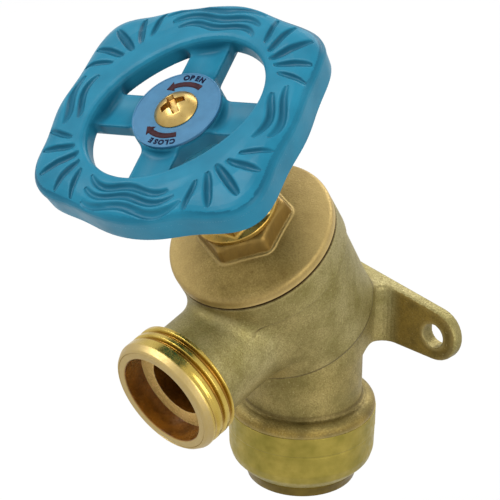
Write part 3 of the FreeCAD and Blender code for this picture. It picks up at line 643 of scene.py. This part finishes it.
def paint_underside_shade(p, normals):
    """Painted shade: the ears' plates, the shoulder, the lower neck and all that faces down take a warmer,
    darker colour.
    """
    plate = np.clip((np.abs(p[:, 0]) - 14) / 3, 0, 1) * (np.abs(normals[:, 1]) > 0.7)
    shoulder = np.clip((SHOULDER_TOP + 1.4 - p[:, 2]) / 3, 0, 1)
    neck = np.clip((44 - p[:, 2]) / 14, 0, 1) * 0.45
    below = np.clip(-normals[:, 2] * 1.6, 0, 1) * 0.6
    return np.maximum(np.maximum(plate, shoulder), np.maximum(neck, below))


carve("casting", casting, (-33, -40, 12), (33, 18, 75), 0.3, PIPE, "housing", CASTING,
      ["valve_body"], marks={"underside_shade": paint_underside_shade, "seam_and_shade": joint_and_shade_lines})


# Outlet's machined end: thread, end face, stepped mouth

CREST, THREAD_START, OUTLET_END = 13.45, 32.35, 40.3
THREAD_DEPTH, PITCH, FIRST_TURN, LAST_TURN = 0.8, 2.209, 31.0, 38.0
FACE_LINE = 12.08
MOUTH_RADIUS, MOUTH_FLOOR, OUTLET_BORE = 10.45, 35.1, 6.92
OUTLET_SEGMENTS = 360
OUTLET_PROFILE = [
    (CREST, THREAD_START), (CREST, OUTLET_END - 1.6, 1.2), (CREST - 0.7, OUTLET_END - 0.35, 0.8),
    (CREST - 1.1, OUTLET_END, 0.15), (FACE_LINE + 0.07, OUTLET_END, 0.03),
    (FACE_LINE, OUTLET_END - 0.15, 0.03), (FACE_LINE - 0.12, OUTLET_END, 0.03),
    (MOUTH_RADIUS + 0.25, OUTLET_END, 0.1), (MOUTH_RADIUS, OUTLET_END - 0.25, 0.1),
    (MOUTH_RADIUS, MOUTH_FLOOR, 0.05), (OUTLET_BORE, MOUTH_FLOOR, 0.1), (OUTLET_BORE, 14),
    (OUTLET_BORE + 0.38, 14), (OUTLET_BORE + 0.38, 30.9), (11, 31), (11.3, 31.8)]


def on_thread(r, s):
    return (r > CREST - 0.15) & (s < OUTLET_END - 0.9)


def close_rows(line):
    """The profile's points with more between them: fine rows along the thread, coarse ones elsewhere."""
    rows = []
    for i, (here, normal) in enumerate(line):
        rows.append((*here, normal[1]))
        there = line[(i + 1) % len(line)][0]
        threaded = here[0] > CREST - 0.15 and there[0] > CREST - 0.15
        steps = int(np.linalg.norm(there - here) / (0.06 if threaded else 0.4))
        for k in range(1, steps):
            rows.append((*(here + (there - here) * k / steps), normal[1]))
    return np.array(rows)


def thread_depth(s, angles):
    """How far into the thread's groove each point lies, 0 to 1, fading out on the last turn."""
    turns = angles / (2 * math.pi)
    centre = FIRST_TURN + PITCH * (np.round((s - FIRST_TURN) / PITCH - turns) + turns)
    cut = np.clip((0.74 - np.abs(s - centre)) / 0.6, 0, 1)
    return cut * cut * (3 - 2 * cut) * np.clip((LAST_TURN - centre) / 0.9, 0, 1)


def outlet_end():
    rows = close_rows(soften(OUTLET_PROFILE, 0.1))
    angles = np.arange(OUTLET_SEGMENTS) * 2 * math.pi / OUTLET_SEGMENTS
    r, s, flat = (column[:, None] + np.zeros(OUTLET_SEGMENTS) for column in rows.T)
    depth = np.where(on_thread(r, s), thread_depth(s, angles), 0)
    r = r - THREAD_DEPTH * depth
    marks = {"groove": depth ** 2,
             "face": np.clip((s - OUTLET_END + 1.9) / 0.5, 0, 1) * (r > MOUTH_RADIUS + 0.05),
             "inner": (r < MOUTH_RADIUS + 0.15) & (s < OUTLET_END - 0.1),
             "step": (flat > 0.9) & (s < MOUTH_FLOOR + 0.9)}
    points = np.stack([r * np.cos(angles), r * np.sin(angles), s], -1).reshape(-1, 3).astype(F)
    piece = finish_mesh("outlet_end", OUTLET.world(points), ring_quads(len(rows), OUTLET_SEGMENTS), None,
                        {name: value.ravel() for name, value in marks.items()},
                        "housing", THREAD, [])
    piece.data.set_sharp_from_angle(angle=math.radians(40))


outlet_end()


# Bonnet, with its wrench hexagon

GASKET = 0.6
SKIRT_RADIUS, SKIRT_DEPTH = 13.45, 7.5
STEM_HEAD_BORE, THREAD_BORE, THREAD_TOP, STEM_GUIDE = 8.6, 5.7, 6.5, 4.15
PACKING_BORE, PACKING_BOTTOM, BOSS_RADIUS, BOSS_TOP = 5.6, 7.0, 6.6, 13.6
DOME_RADIUS, DOME_TOP, DOME_EDGE = 53.6, 5.95, 0.8
HEX_TURN = math.radians(-20)
HEX_HALF, HEX_BASE, HEX_TOP, HEX_LEAN = 9.25, 5.0, 9.6, 0.12
FOOT_HALF, FOOT_HEIGHT, FOOT_CORNER = 9.75, 0.22, 1.6
# The side ends in a lip outside the gasket, which leaves only a thin dark line.
LIP = [(18.06, GASKET), (18.1, 0.36), (18.3, 0.32), (CHAMBER_RADIUS, 0.55)]
DOME_SIDE = [(PAST, -SKIRT_DEPTH), (SKIRT_RADIUS, -SKIRT_DEPTH), (SKIRT_RADIUS, GASKET)] + LIP \
    + [(CHAMBER_RADIUS, 8), (PAST, 8)]
COVER_HOLE = [(PAST, -9), (STEM_HEAD_BORE, -9), (STEM_HEAD_BORE, -SKIRT_DEPTH / 2),
              (THREAD_BORE, -SKIRT_DEPTH / 2), (THREAD_BORE, THREAD_TOP), (STEM_GUIDE, THREAD_TOP),
              (STEM_GUIDE, PACKING_BOTTOM), (PACKING_BORE, PACKING_BOTTOM), (PACKING_BORE, 15), (PAST, 15)]


def hexagon(x, y, half, turn, corner):
    out = None
    for k in range(3):
        a = turn + math.radians(30 + 60 * k)
        side = np.abs(x * F(math.cos(a)) + y * F(math.sin(a))) - F(half)
        out = side if out is None else meet(out, side, corner)
    return out


def bevel(r, s, radius, top, rise):
    """Cone that takes the corners off a hexagon's top; it falls 1.2 while r grows by rise."""
    return ((r - F(radius)) * F(1.2) + (s - F(top)) * F(rise)) / F(math.hypot(1.2, rise))


def bonnet(p):
    x, y, s = p[:, 0], p[:, 1], p[:, 2]
    r = np.hypot(x, y)
    ball = np.sqrt(r * r + (s + F(DOME_RADIUS - DOME_TOP)) ** 2) - F(DOME_RADIUS)
    dome = meet(polygon(r, s, DOME_SIDE), ball, DOME_EDGE)
    flats = hexagon(x, y, HEX_HALF, HEX_TURN, 0.8) + (s - F(HEX_BASE)) * F(HEX_LEAN)
    nut = meet(flats, np.maximum(s - F(HEX_TOP), F(HEX_BASE - 2) - s), 0.9)
    nut = meet(nut, bevel(r, s, 8.7, HEX_TOP, 2.1), 0.9)
    foot = meet(hexagon(x, y, FOOT_HALF, HEX_TURN, FOOT_CORNER), ball - F(FOOT_HEIGHT), 0.12)
    boss = np.maximum(r - F(BOSS_RADIUS), np.maximum(s - F(BOSS_TOP), -s))
    body = np.minimum(join(join(dome, foot, 0.3), nut, 0.12), boss)
    return np.maximum(body, -polygon(r, s, COVER_HOLE))


def polished(p, normals):
    """The machined hexagon and the boss above it."""
    r = np.hypot(p[:, 0], p[:, 1])
    dome = np.sqrt(DOME_RADIUS ** 2 - r * r) - DOME_RADIUS + DOME_TOP
    return (p[:, 2] > dome + 0.4) & (r > BOSS_RADIUS - 0.4) & (r < 12.5)


def wear_and_painted_light(p, normals):
    """The dome is painted lighter on its two sides as seen from the front, as painted light; it is also a
    little lighter along its rim and round the hexagon's foot, as rubbed metal.
    """
    x, y, s = p[:, 0], p[:, 1], p[:, 2]
    # Painted light: lighter towards the left and right as seen from the front.
    sides = np.clip((np.abs(x * 0.73 + y * 0.68) - 7) / 10, 0, 1) * 0.42
    rim = np.clip((np.hypot(x, y) - CHAMBER_RADIUS + 1.5) / 1.5, 0, 1) * 0.25
    outline = hexagon(x, y, FOOT_HALF - 0.1, HEX_TURN, FOOT_CORNER)
    foot = band(outline, 0, 0.3, 1.3) * ((s > 3) & (s < 6)) * 0.3
    return np.maximum(np.maximum(sides, rim), foot)


def lip_line(p, normals):
    """The lip over the gasket is painted dark: the joint line, with painted shade in its groove."""
    return band(p[:, 2], 0.25, 0.25) * (np.hypot(p[:, 0], p[:, 1]) > 17.4)


carve("cover", bonnet, (-19, -19, -8), (19, 19, 14.2), 0.25, BONNET, "housing", COVER,
      ["bonnet"], marks={"polish": polished, "wear_and_painted_light": wear_and_painted_light, "seam_and_shade": lip_line})


# Packing nut

NUT_TURN = 0.2
NUT_HALF, NUT_TOP, FLANGE_RADIUS, FLANGE_BOTTOM = 7.5, 18.0, 9.2, 9.8
PRESS_BOTTOM = 11.55
NUT_BORE = [(PAST, 9), (BOSS_RADIUS + 0.05, 9), (BOSS_RADIUS + 0.05, BOSS_TOP + 0.05),
            (5.55, BOSS_TOP + 0.05), (5.55, PRESS_BOTTOM), (4.05, PRESS_BOTTOM), (4.05, 19), (PAST, 19)]
NUT_FLANGE = [(PAST, FLANGE_BOTTOM), (FLANGE_RADIUS - 0.1, FLANGE_BOTTOM),
              (FLANGE_RADIUS, FLANGE_BOTTOM + 0.1), (FLANGE_RADIUS, FLANGE_BOTTOM + 0.95),
              (FLANGE_RADIUS - 0.15, FLANGE_BOTTOM + 1.15), (NUT_HALF, FLANGE_BOTTOM + 2.1),
              (PAST, FLANGE_BOTTOM + 2.2)]


def packing_nut(p):
    x, y, s = p[:, 0], p[:, 1], p[:, 2]
    r = np.hypot(x, y)
    flats = hexagon(x, y, NUT_HALF, NUT_TURN, 0.25)
    barrel = meet(flats, np.maximum(s - F(NUT_TOP), F(FLANGE_BOTTOM + 0.7) - s), 0.2)
    barrel = meet(barrel, bevel(r, s, NUT_HALF - 0.4, NUT_TOP, 2.0), 0.15)
    body = join(polygon(r, s, NUT_FLANGE), barrel, 0.5)
    return np.maximum(body, -polygon(r, s, NUT_BORE))


carve("packing_gland", packing_nut, (-9.7, -9.7, 9.4), (9.7, 9.7, 18.6), 0.17, BONNET, "housing",
      NUT, ["packing_nut"])


# Handwheel

WHEEL_TURN = math.radians(15)
RIM_BOTTOM, RIM_TOP, RIM_RADIUS, RIM_FLAT, RIM_WALL = 35.3, 43.9, 27.65, 24.6, 25.5
EYE_RADIUS, EYE_WAIST = 19.3, 3.8
HUB_RADIUS, HUB_NECK, HUB_BOTTOM, HUB_TOP = 9.7, 6.4, 30.0, 41.8
SPOKE_HALF, SPOKE_BOTTOM, SPOKE_BED = 4.2, 37.8, 40.2
LOBES = ((math.radians(39), 4.0), (math.radians(140), 5.0))
# Waves along the rim: from and to degrees, lines, first radius, spacing, bends
WAVES = ((61, 118, 3, 21.2, 2.3, 1.4), (163, 196, 2, 21.8, 2.7, 0.8))
# How the rim's crown falls away: inwards from the outer wall and outwards from the eye, with the drop
OUTER_CROWN = [(0, 1.8), (0.07, 1.15), (0.45, 0.65), (1.15, 0.3), (2.05, 0.08)]
INNER_CROWN = [(0, 1.3), (0.2, 0.75), (0.65, 0.3), (1.3, 0.07), (2, 0)]
RIM = [(-8, RIM_BOTTOM), (26.5, RIM_BOTTOM), (27.1, RIM_BOTTOM + 0.6)] \
    + [(RIM_RADIUS - x, RIM_TOP - drop) for x, drop in OUTER_CROWN] + [(RIM_FLAT, RIM_TOP), (-8, RIM_TOP)]
EYE = [(EYE_RADIUS, 30)] + [(EYE_RADIUS + x, RIM_TOP - drop) for x, drop in INNER_CROWN] \
    + [(40, RIM_TOP), (40, 30)]
HUB = [(PAST, HUB_BOTTOM), (HUB_NECK, HUB_BOTTOM), (HUB_NECK, 34.5), (HUB_RADIUS, 38.4),
       (HUB_RADIUS, HUB_TOP - 0.45), (HUB_RADIUS - 0.13, HUB_TOP - 0.15), (HUB_RADIUS - 0.45, HUB_TOP),
       (PAST, HUB_TOP)]


def reach(turn):
    """How far the rim's outline stands out past its plain circle."""
    return sum(F(rise) * np.maximum(0, np.cos(2 * (turn - F(lobe)))) ** 6 for lobe, rise in LOBES)


def groove(distance, along, height, half):
    """A round-bottomed groove in the rim's crown that thins out at both ends (along runs 0 to 1)."""
    thin = np.clip(4 * along * (1 - along), 0, 1) ** 0.4
    dip = np.sqrt(distance ** 2 + (height * F(0.95)) ** 2) - F(half) * thin
    return np.where((along > 0) & (along < 1), dip, F(1))


def strokes(r, half_turn, height):
    """A fan of five strokes on each lobe, the outer ones shorter and thinner."""
    cuts = np.full(r.shape, F(1))
    for lobe, _ in LOBES:
        for k in range(-2, 3):
            line = lobe + math.radians(8.2 * k) + F(0.014 * k) * (r - F(24))
            first, last = 20.8 + 0.5 * abs(k), 29.9 - 1.3 * abs(k)
            along = (r - F(first)) / F(last - first)
            cut = groove(np.abs(half_turn - line) * r, along, height, 0.9 - 0.1 * abs(k))
            cuts = np.minimum(cuts, cut)
    return cuts


def waves(r, turn, height):
    """Wave lines along the rim between the lobes."""
    cuts = np.full(r.shape, F(1))
    for start, end, lines, radius, spacing, bends in WAVES:
        for i in range(lines):
            first, last = math.radians(start + 3 * i), math.radians(end - 3 * (lines - 1 - i))
            along = np.mod(turn - F(first), F(math.pi)) / F(last - first)
            line = F(radius + spacing * i) + F(0.8) * np.sin(2 * math.pi * along * F(bends) + F(0.5 * i))
            cuts = np.minimum(cuts, groove(np.abs(r - line) * F(0.93), along, height, 0.75))
    return cuts


def relief(r, turn, outer, s):
    """Fans of strokes on the four lobes and wave lines along the rim between them."""
    height = s - F(RIM_TOP) + F(0.1) * np.clip(outer - F(RIM_FLAT), 0, 3) ** 2
    return np.minimum(strokes(r, np.mod(turn, F(math.pi)), height), waves(r, turn, height))


def wheel_rim(r, turn, s):
    """Lobed rim with an oval eye, hollow underneath, its crown swelling and falling off outwards."""
    outer = r - reach(turn)
    inner = r + F(EYE_WAIST / 2) * (1 - np.sin(2 * turn))
    swell = F(0.2) * (1 + np.sin(10 * turn + F(0.5) * (r - F(20)))) * np.clip((r - F(20)) / 2, 0, 1)
    drop = F(0.22) * np.clip(r - F(RIM_WALL), 0, 6) + swell
    crown = (outer < RIM_RADIUS + 0.15) & (s > 40)
    rim = meet(polygon(outer, s + drop * crown, RIM), polygon(inner, s, EYE), 0.2)
    under = np.maximum(outer - F(RIM_WALL), s - F(39.5))
    channel = np.maximum(np.maximum(outer - F(RIM_WALL), F(21.1) - r), s - F(40.7))
    rim = meet(rim, -np.minimum(under, channel), 0.3)
    return meet(rim, -relief(r, turn, outer, s + drop), 0.55)


def wheel(p):
    x, y, s = p[:, 0], p[:, 1], p[:, 2]
    r = np.hypot(x, y)
    turn = np.arctan2(y, x) - F(WHEEL_TURN)
    quarter = np.mod(turn + F(math.pi / 4), F(math.pi / 2)) - F(math.pi / 4)
    along, across = r * np.cos(quarter), r * np.sin(quarter)
    bed = F(SPOKE_BED) + (across / F(SPOKE_HALF)) ** 2
    spoke = meet(np.abs(across) - F(SPOKE_HALF), np.maximum(s - bed, F(SPOKE_BOTTOM) - s), 0.7)
    spoke = np.maximum(spoke, along - F(EYE_RADIUS + 1.3))
    body = join(join(wheel_rim(r, turn, s), spoke, 1.3), polygon(r, s, HUB), 1.5)
    stem_hole = np.maximum(r - F(4.1), s - F(40.7))
    return np.maximum(body, -np.minimum(stem_hole, r - F(2.2)))


carve("wheel", wheel, (-32.5, -32.5, 29.6), (32.5, 32.5, 44.3), 0.26, BONNET, "turning",
      PAINT, ["handwheel"], hollow=1.6)


# Label disc with its print

LABEL_RADIUS, LABEL_HOLE, LABEL_BOTTOM, LABEL_TOP, LABEL_LIP = 9.5, 2.25, 41.82, 42.3, 42.42
PRINT = 0.03
ARROW_HEAD = 15.0

LABEL_PROFILE = [(LABEL_HOLE, LABEL_BOTTOM), (LABEL_RADIUS, LABEL_BOTTOM), (LABEL_RADIUS, LABEL_LIP - 0.08),
                 (LABEL_RADIUS - 0.12, LABEL_LIP, 0.05), (LABEL_RADIUS - 0.28, LABEL_LIP, 0.05),
                 (LABEL_RADIUS - 0.38, LABEL_TOP, 0.05), (LABEL_HOLE, LABEL_TOP)]

lathe("label_disc", LABEL_PROFILE, 0.08, BONNET, "turning", LABEL, ["label_plate"])


def print_mesh(name, parts, material):
    """Flat print raised a hair off the disc; parts are lists of outline points and faces."""
    points, faces = [], []
    for verts, polys in parts:
        base = len(points)
        points += verts
        faces += [[base + i for i in poly] for poly in polys]
    finish_mesh(name, BONNET.world(np.array(points, F)), faces, None, None, "turning",
                material, [])


def letter_mesh(letter, height):
    """One letter as a thin solid, its size set by the height of its capitals."""
    curve = bpy.data.curves.new("letter", "FONT")
    curve.body = letter
    curve.size = height / 0.7
    curve.extrude = PRINT / 2
    curve.offset = height * 0.09
    curve.align_x = "CENTER"
    curve.resolution_u = 6
    holder = bpy.data.objects.new("letter", curve)
    bpy.context.scene.collection.objects.link(holder)
    bpy.context.view_layer.update()
    mesh = bpy.data.meshes.new_from_object(holder)
    verts = [tuple(v.co) for v in mesh.vertices]
    polys = [list(f.vertices) for f in mesh.polygons]
    bpy.data.objects.remove(holder)
    bpy.data.curves.remove(curve)
    bpy.data.meshes.remove(mesh)
    return verts, polys


def letters(word, centre, radius, height, pitch):
    """Word with its letter tops outward, read clockwise, one letter every pitch degrees."""
    parts = []
    for i, letter in enumerate(word):
        a = math.radians(centre - (i - (len(word) - 1) / 2) * pitch)
        across = np.array([math.sin(a), -math.cos(a)])
        upward = np.array([math.cos(a), math.sin(a)])
        verts, polys = letter_mesh(letter, height)
        placed = []
        for x, y, z in verts:
            flat = upward * (radius - height / 2 + y) + across * x
            placed.append((flat[0], flat[1], LABEL_TOP + PRINT / 2 + z))
        parts.append((placed, polys))
    return parts


def arrow(start, end, radius, width, steps=24):
    """Curved arrow from start to end degrees, its head at the end."""
    way = 1 if end > start else -1
    head = end - ARROW_HEAD * way
    angles = [math.radians(start + (head - start) * i / steps) for i in range(steps + 1)]
    outline = [(a, radius + width / 2) for a in angles] + [(angles[-1], radius + width * 1.05)]
    outline += [(math.radians(end), radius), (angles[-1], radius - width * 1.05)]
    outline += [(a, radius - width / 2) for a in reversed(angles)]
    n = len(outline)
    verts, faces = [], []
    for level in (LABEL_TOP, LABEL_TOP + PRINT):
        verts += [(r * math.cos(a), r * math.sin(a), level) for a, r in outline]
    for level, order in ((0, -way), (n, way)):
        for i in range(steps):
            faces.append([level + i, level + i + 1, level + n - 2 - i, level + n - 1 - i][::order])
        faces.append([level + steps + k for k in range(5)][::order])
    for i in range(n):
        j = (i + 1) % n
        faces.append([i, j, n + j, n + i][::way])
    return [(verts, faces)]


print_mesh("label_words", letters("OPEN", 100, 8.25, 1.15, 9.0) + letters("CLOSE", -73, 8.2, 1.1, 8.7), INK)
print_mesh("label_arrows", arrow(77, 148, 6.55, 1.25) + arrow(-50, -120, 6.55, 1.25), ARROW)


# Domed screw with its cross recess

SCREW_BALL, SCREW_BALL_CENTRE, SCREW_RADIUS, SCREW_BOTTOM = 6.0, 38.7, 4.78, 42.32
SCREW_TOP = SCREW_BALL_CENTRE + SCREW_BALL
SHANK_RADIUS, SHANK_BOTTOM = 2.1, 30.3
RECESS_TURN = math.radians(56)
RECESS_ARM, RECESS_HALF, RECESS_FLOOR = 2.9, 0.76, 43.1


def dome_screw(p):
    x, y, s = p[:, 0], p[:, 1], p[:, 2]
    r = np.hypot(x, y)
    ball = np.sqrt(r * r + (s - F(SCREW_BALL_CENTRE)) ** 2) - F(SCREW_BALL)
    head = meet(meet(ball, F(SCREW_BOTTOM) - s, 0.25), r - F(SCREW_RADIUS), 0.3)
    a = x * F(math.cos(RECESS_TURN)) + y * F(math.sin(RECESS_TURN))
    b = -x * F(math.sin(RECESS_TURN)) + y * F(math.cos(RECESS_TURN))
    depth = np.clip(F(SCREW_TOP) - s, 0, 3)
    arm, half = F(RECESS_ARM) - F(0.45) * depth, F(RECESS_HALF) - F(0.1) * depth
    one = np.maximum(np.abs(a) - arm, np.abs(b) - half)
    two = np.maximum(np.abs(b) - arm, np.abs(a) - half)
    head = meet(head, -np.maximum(join(one, two, 0.5), F(RECESS_FLOOR) - s), 0.12)
    shank = np.maximum(r - F(SHANK_RADIUS), np.maximum(s - F(SCREW_BOTTOM + 0.28), F(SHANK_BOTTOM) - s))
    return np.minimum(head, shank)


carve("domed_screw", dome_screw, (-5.2, -5.2, 29.9), (5.2, 5.2, 45.1), 0.11, BONNET, "turning",
      SCREW, ["handle_screw"], hollow=0.4)


# Push-fit end

CAP_RADIUS, CAP_BORE, CAP_RIM, CAP_BOTTOM, CAP_LINE = 16.72, 15.5, 17.38, 3.02, 12.55
CAP_FLANGE, CAP_OPENING, CAP_SEAT = 14.5, 13.2, 4.6
COLLAR_BORE, COLLAR_RADIUS, COLLAR_FLANGE, COLLAR_BOTTOM, COLLAR_TOP = 11.5, 13.1, 14.4, 0.03, 8.1
CAP_PROFILE = [(CAP_BORE, CAP_RIM), (CAP_BORE, 9.6), (CAP_FLANGE, 9.6), (CAP_FLANGE, CAP_SEAT),
               (CAP_OPENING, CAP_SEAT), (CAP_OPENING, CAP_BOTTOM), (13.6, CAP_BOTTOM, 0.3),
               (14.5, 3.9, 2.5), (15.9, 5.4, 2.5), (16.5, 7.4, 3.0), (CAP_RADIUS - 0.1, CAP_LINE - 0.35),
               (CAP_RADIUS - 0.12, CAP_LINE - 0.15, 0.1), (CAP_RADIUS - 0.12, CAP_LINE + 0.15, 0.1),
               (CAP_RADIUS - 0.02, CAP_LINE + 0.35), (CAP_RADIUS, CAP_RIM, 0.08)]
COLLAR_PROFILE = [(COLLAR_BORE, COLLAR_BOTTOM), (COLLAR_RADIUS - 0.7, COLLAR_BOTTOM), (COLLAR_RADIUS, 2.4),
                  (COLLAR_RADIUS, 4.65), (COLLAR_FLANGE, 4.65), (COLLAR_FLANGE, 5.95),
                  (COLLAR_RADIUS, 5.95), (11.9, COLLAR_TOP), (COLLAR_BORE, COLLAR_TOP)]

lathe("cap_shell", CAP_PROFILE, 0.12, PIPE, "housing", CAP, ["socket_cap"])
lathe("collar_ring", COLLAR_PROFILE, 0.12, PIPE, "collar", COLLAR, ["release_collar"])


# CAD pieces that stay, with their finishes

KEPT = {"bonnet_gasket": FIBRE, "stem_packing": RUBBER, "packing_washer": NUT, "stem": NUT,
        "seat_washer": RUBBER, "washer_screw": NUT, "grab_ring": STEEL, "seal_spacer": ACETAL,
        "pipe_o_ring": RUBBER, "pipe_liner": ACETAL}
for node, material in KEPT.items():
    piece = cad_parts[node]
    piece.data.materials.clear()
    piece.data.materials.append(material)


# Floor, light and camera, in metres

FLOOR_HALF, FLOOR_HEIGHT = 3.0, -0.03
MIDDLE = (0, -0.015, 0.055)
LENS, SENSOR = 144.0, 36.0
CAMERA = (0.25988, -0.29663, 0.24502)
RIGHT, UP, BACK = (0.7304, 0.6830, 0.0042), (-0.2987, 0.3138, 0.9013), (0.6142, -0.6596, 0.4332)


def sees_backdrop(tree):
    """1 for rays from the camera, in reflections and through glass."""
    path = tree.nodes.new("ShaderNodeLightPath")
    total = path.outputs["Is Camera Ray"]
    for other in ("Is Glossy Ray", "Is Transmission Ray"):
        add = tree.nodes.new("ShaderNodeMath")
        add.operation = "MAXIMUM"
        tree.links.new(total, add.inputs[0])
        tree.links.new(path.outputs[other], add.inputs[1])
        total = add.outputs[0]
    return total


def paper():
    """Glows white where it is seen, and still takes the object's shadow."""
    material = bpy.data.materials.new("paper")
    material.use_nodes = True
    tree = material.node_tree
    diffuse = tree.nodes["Principled BSDF"]
    diffuse.inputs["Base Color"].default_value = (0.8, 0.8, 0.8, 1)
    diffuse.inputs["Roughness"].default_value = 0.9
    glow = tree.nodes.new("ShaderNodeEmission")
    glow.inputs["Strength"].default_value = 1.0
    mixer = tree.nodes.new("ShaderNodeMixShader")
    share = tree.nodes.new("ShaderNodeMath")
    share.operation = "MULTIPLY"
    share.inputs[1].default_value = 0.9
    tree.links.new(sees_backdrop(tree), share.inputs[0])
    tree.links.new(share.outputs[0], mixer.inputs[0])
    tree.links.new(diffuse.outputs[0], mixer.inputs[1])
    tree.links.new(glow.outputs[0], mixer.inputs[2])
    tree.links.new(mixer.outputs[0], tree.nodes["Material Output"].inputs["Surface"])
    return material


def lay_floor():
    mesh = bpy.data.meshes.new("floor")
    signs = [(-1, -1), (1, -1), (1, 1), (-1, 1)]
    corners = [(x * FLOOR_HALF, y * FLOOR_HALF, FLOOR_HEIGHT) for x, y in signs]
    mesh.from_pydata(corners, [], [(0, 1, 2, 3)])
    floor = bpy.data.objects.new("floor", mesh)
    bpy.context.scene.collection.objects.link(floor)
    mesh.materials.append(paper())


def light_world(level):
    """White where it is seen, and only so bright as light on the object."""
    world = bpy.data.worlds.new("studio")
    bpy.context.scene.world = world
    world.use_nodes = True
    tree = world.node_tree
    background = tree.nodes["Background"]
    background.inputs["Color"].default_value = (1, 1, 1, 1)
    strength = tree.nodes.new("ShaderNodeMapRange")
    strength.inputs["To Min"].default_value = level
    strength.inputs["To Max"].default_value = 1.0
    tree.links.new(sees_backdrop(tree), strength.inputs["Value"])
    tree.links.new(strength.outputs["Result"], background.inputs["Strength"])


def softbox(name, place, size, power):
    """A rectangular lamp that looks at the middle of the object."""
    data = bpy.data.lights.new(name, "AREA")
    data.shape = "RECTANGLE"
    data.size, data.size_y = size
    data.energy = power
    lamp = bpy.data.objects.new(name, data)
    lamp.location = place
    lamp.rotation_mode = "QUATERNION"
    lamp.rotation_quaternion = (Vector(MIDDLE) - Vector(place)).to_track_quat("-Z", "Y")
    bpy.context.scene.collection.objects.link(lamp)


def set_camera():
    data = bpy.data.cameras.new("camera")
    data.lens = LENS
    data.sensor_width = SENSOR
    data.clip_start = 0.01
    data.clip_end = 20.0
    camera = bpy.data.objects.new("camera", data)
    bpy.context.scene.collection.objects.link(camera)
    turn = Matrix((RIGHT, UP, BACK)).transposed().to_quaternion().to_matrix().to_4x4()
    camera.matrix_world = Matrix.Translation(CAMERA) @ turn
    bpy.context.scene.camera = camera


lay_floor()
light_world(0.38)
softbox("key", (-0.3, -0.42, 0.75), (0.5, 0.5), 7.2)
softbox("fill", (0.6, -0.1, 0.22), (0.35, 0.5), 2.3)
softbox("rim", (-0.1, 0.5, 0.5), (0.5, 0.3), 2.5)
set_camera()
bpy.context.scene.view_settings.view_transform = "Standard"
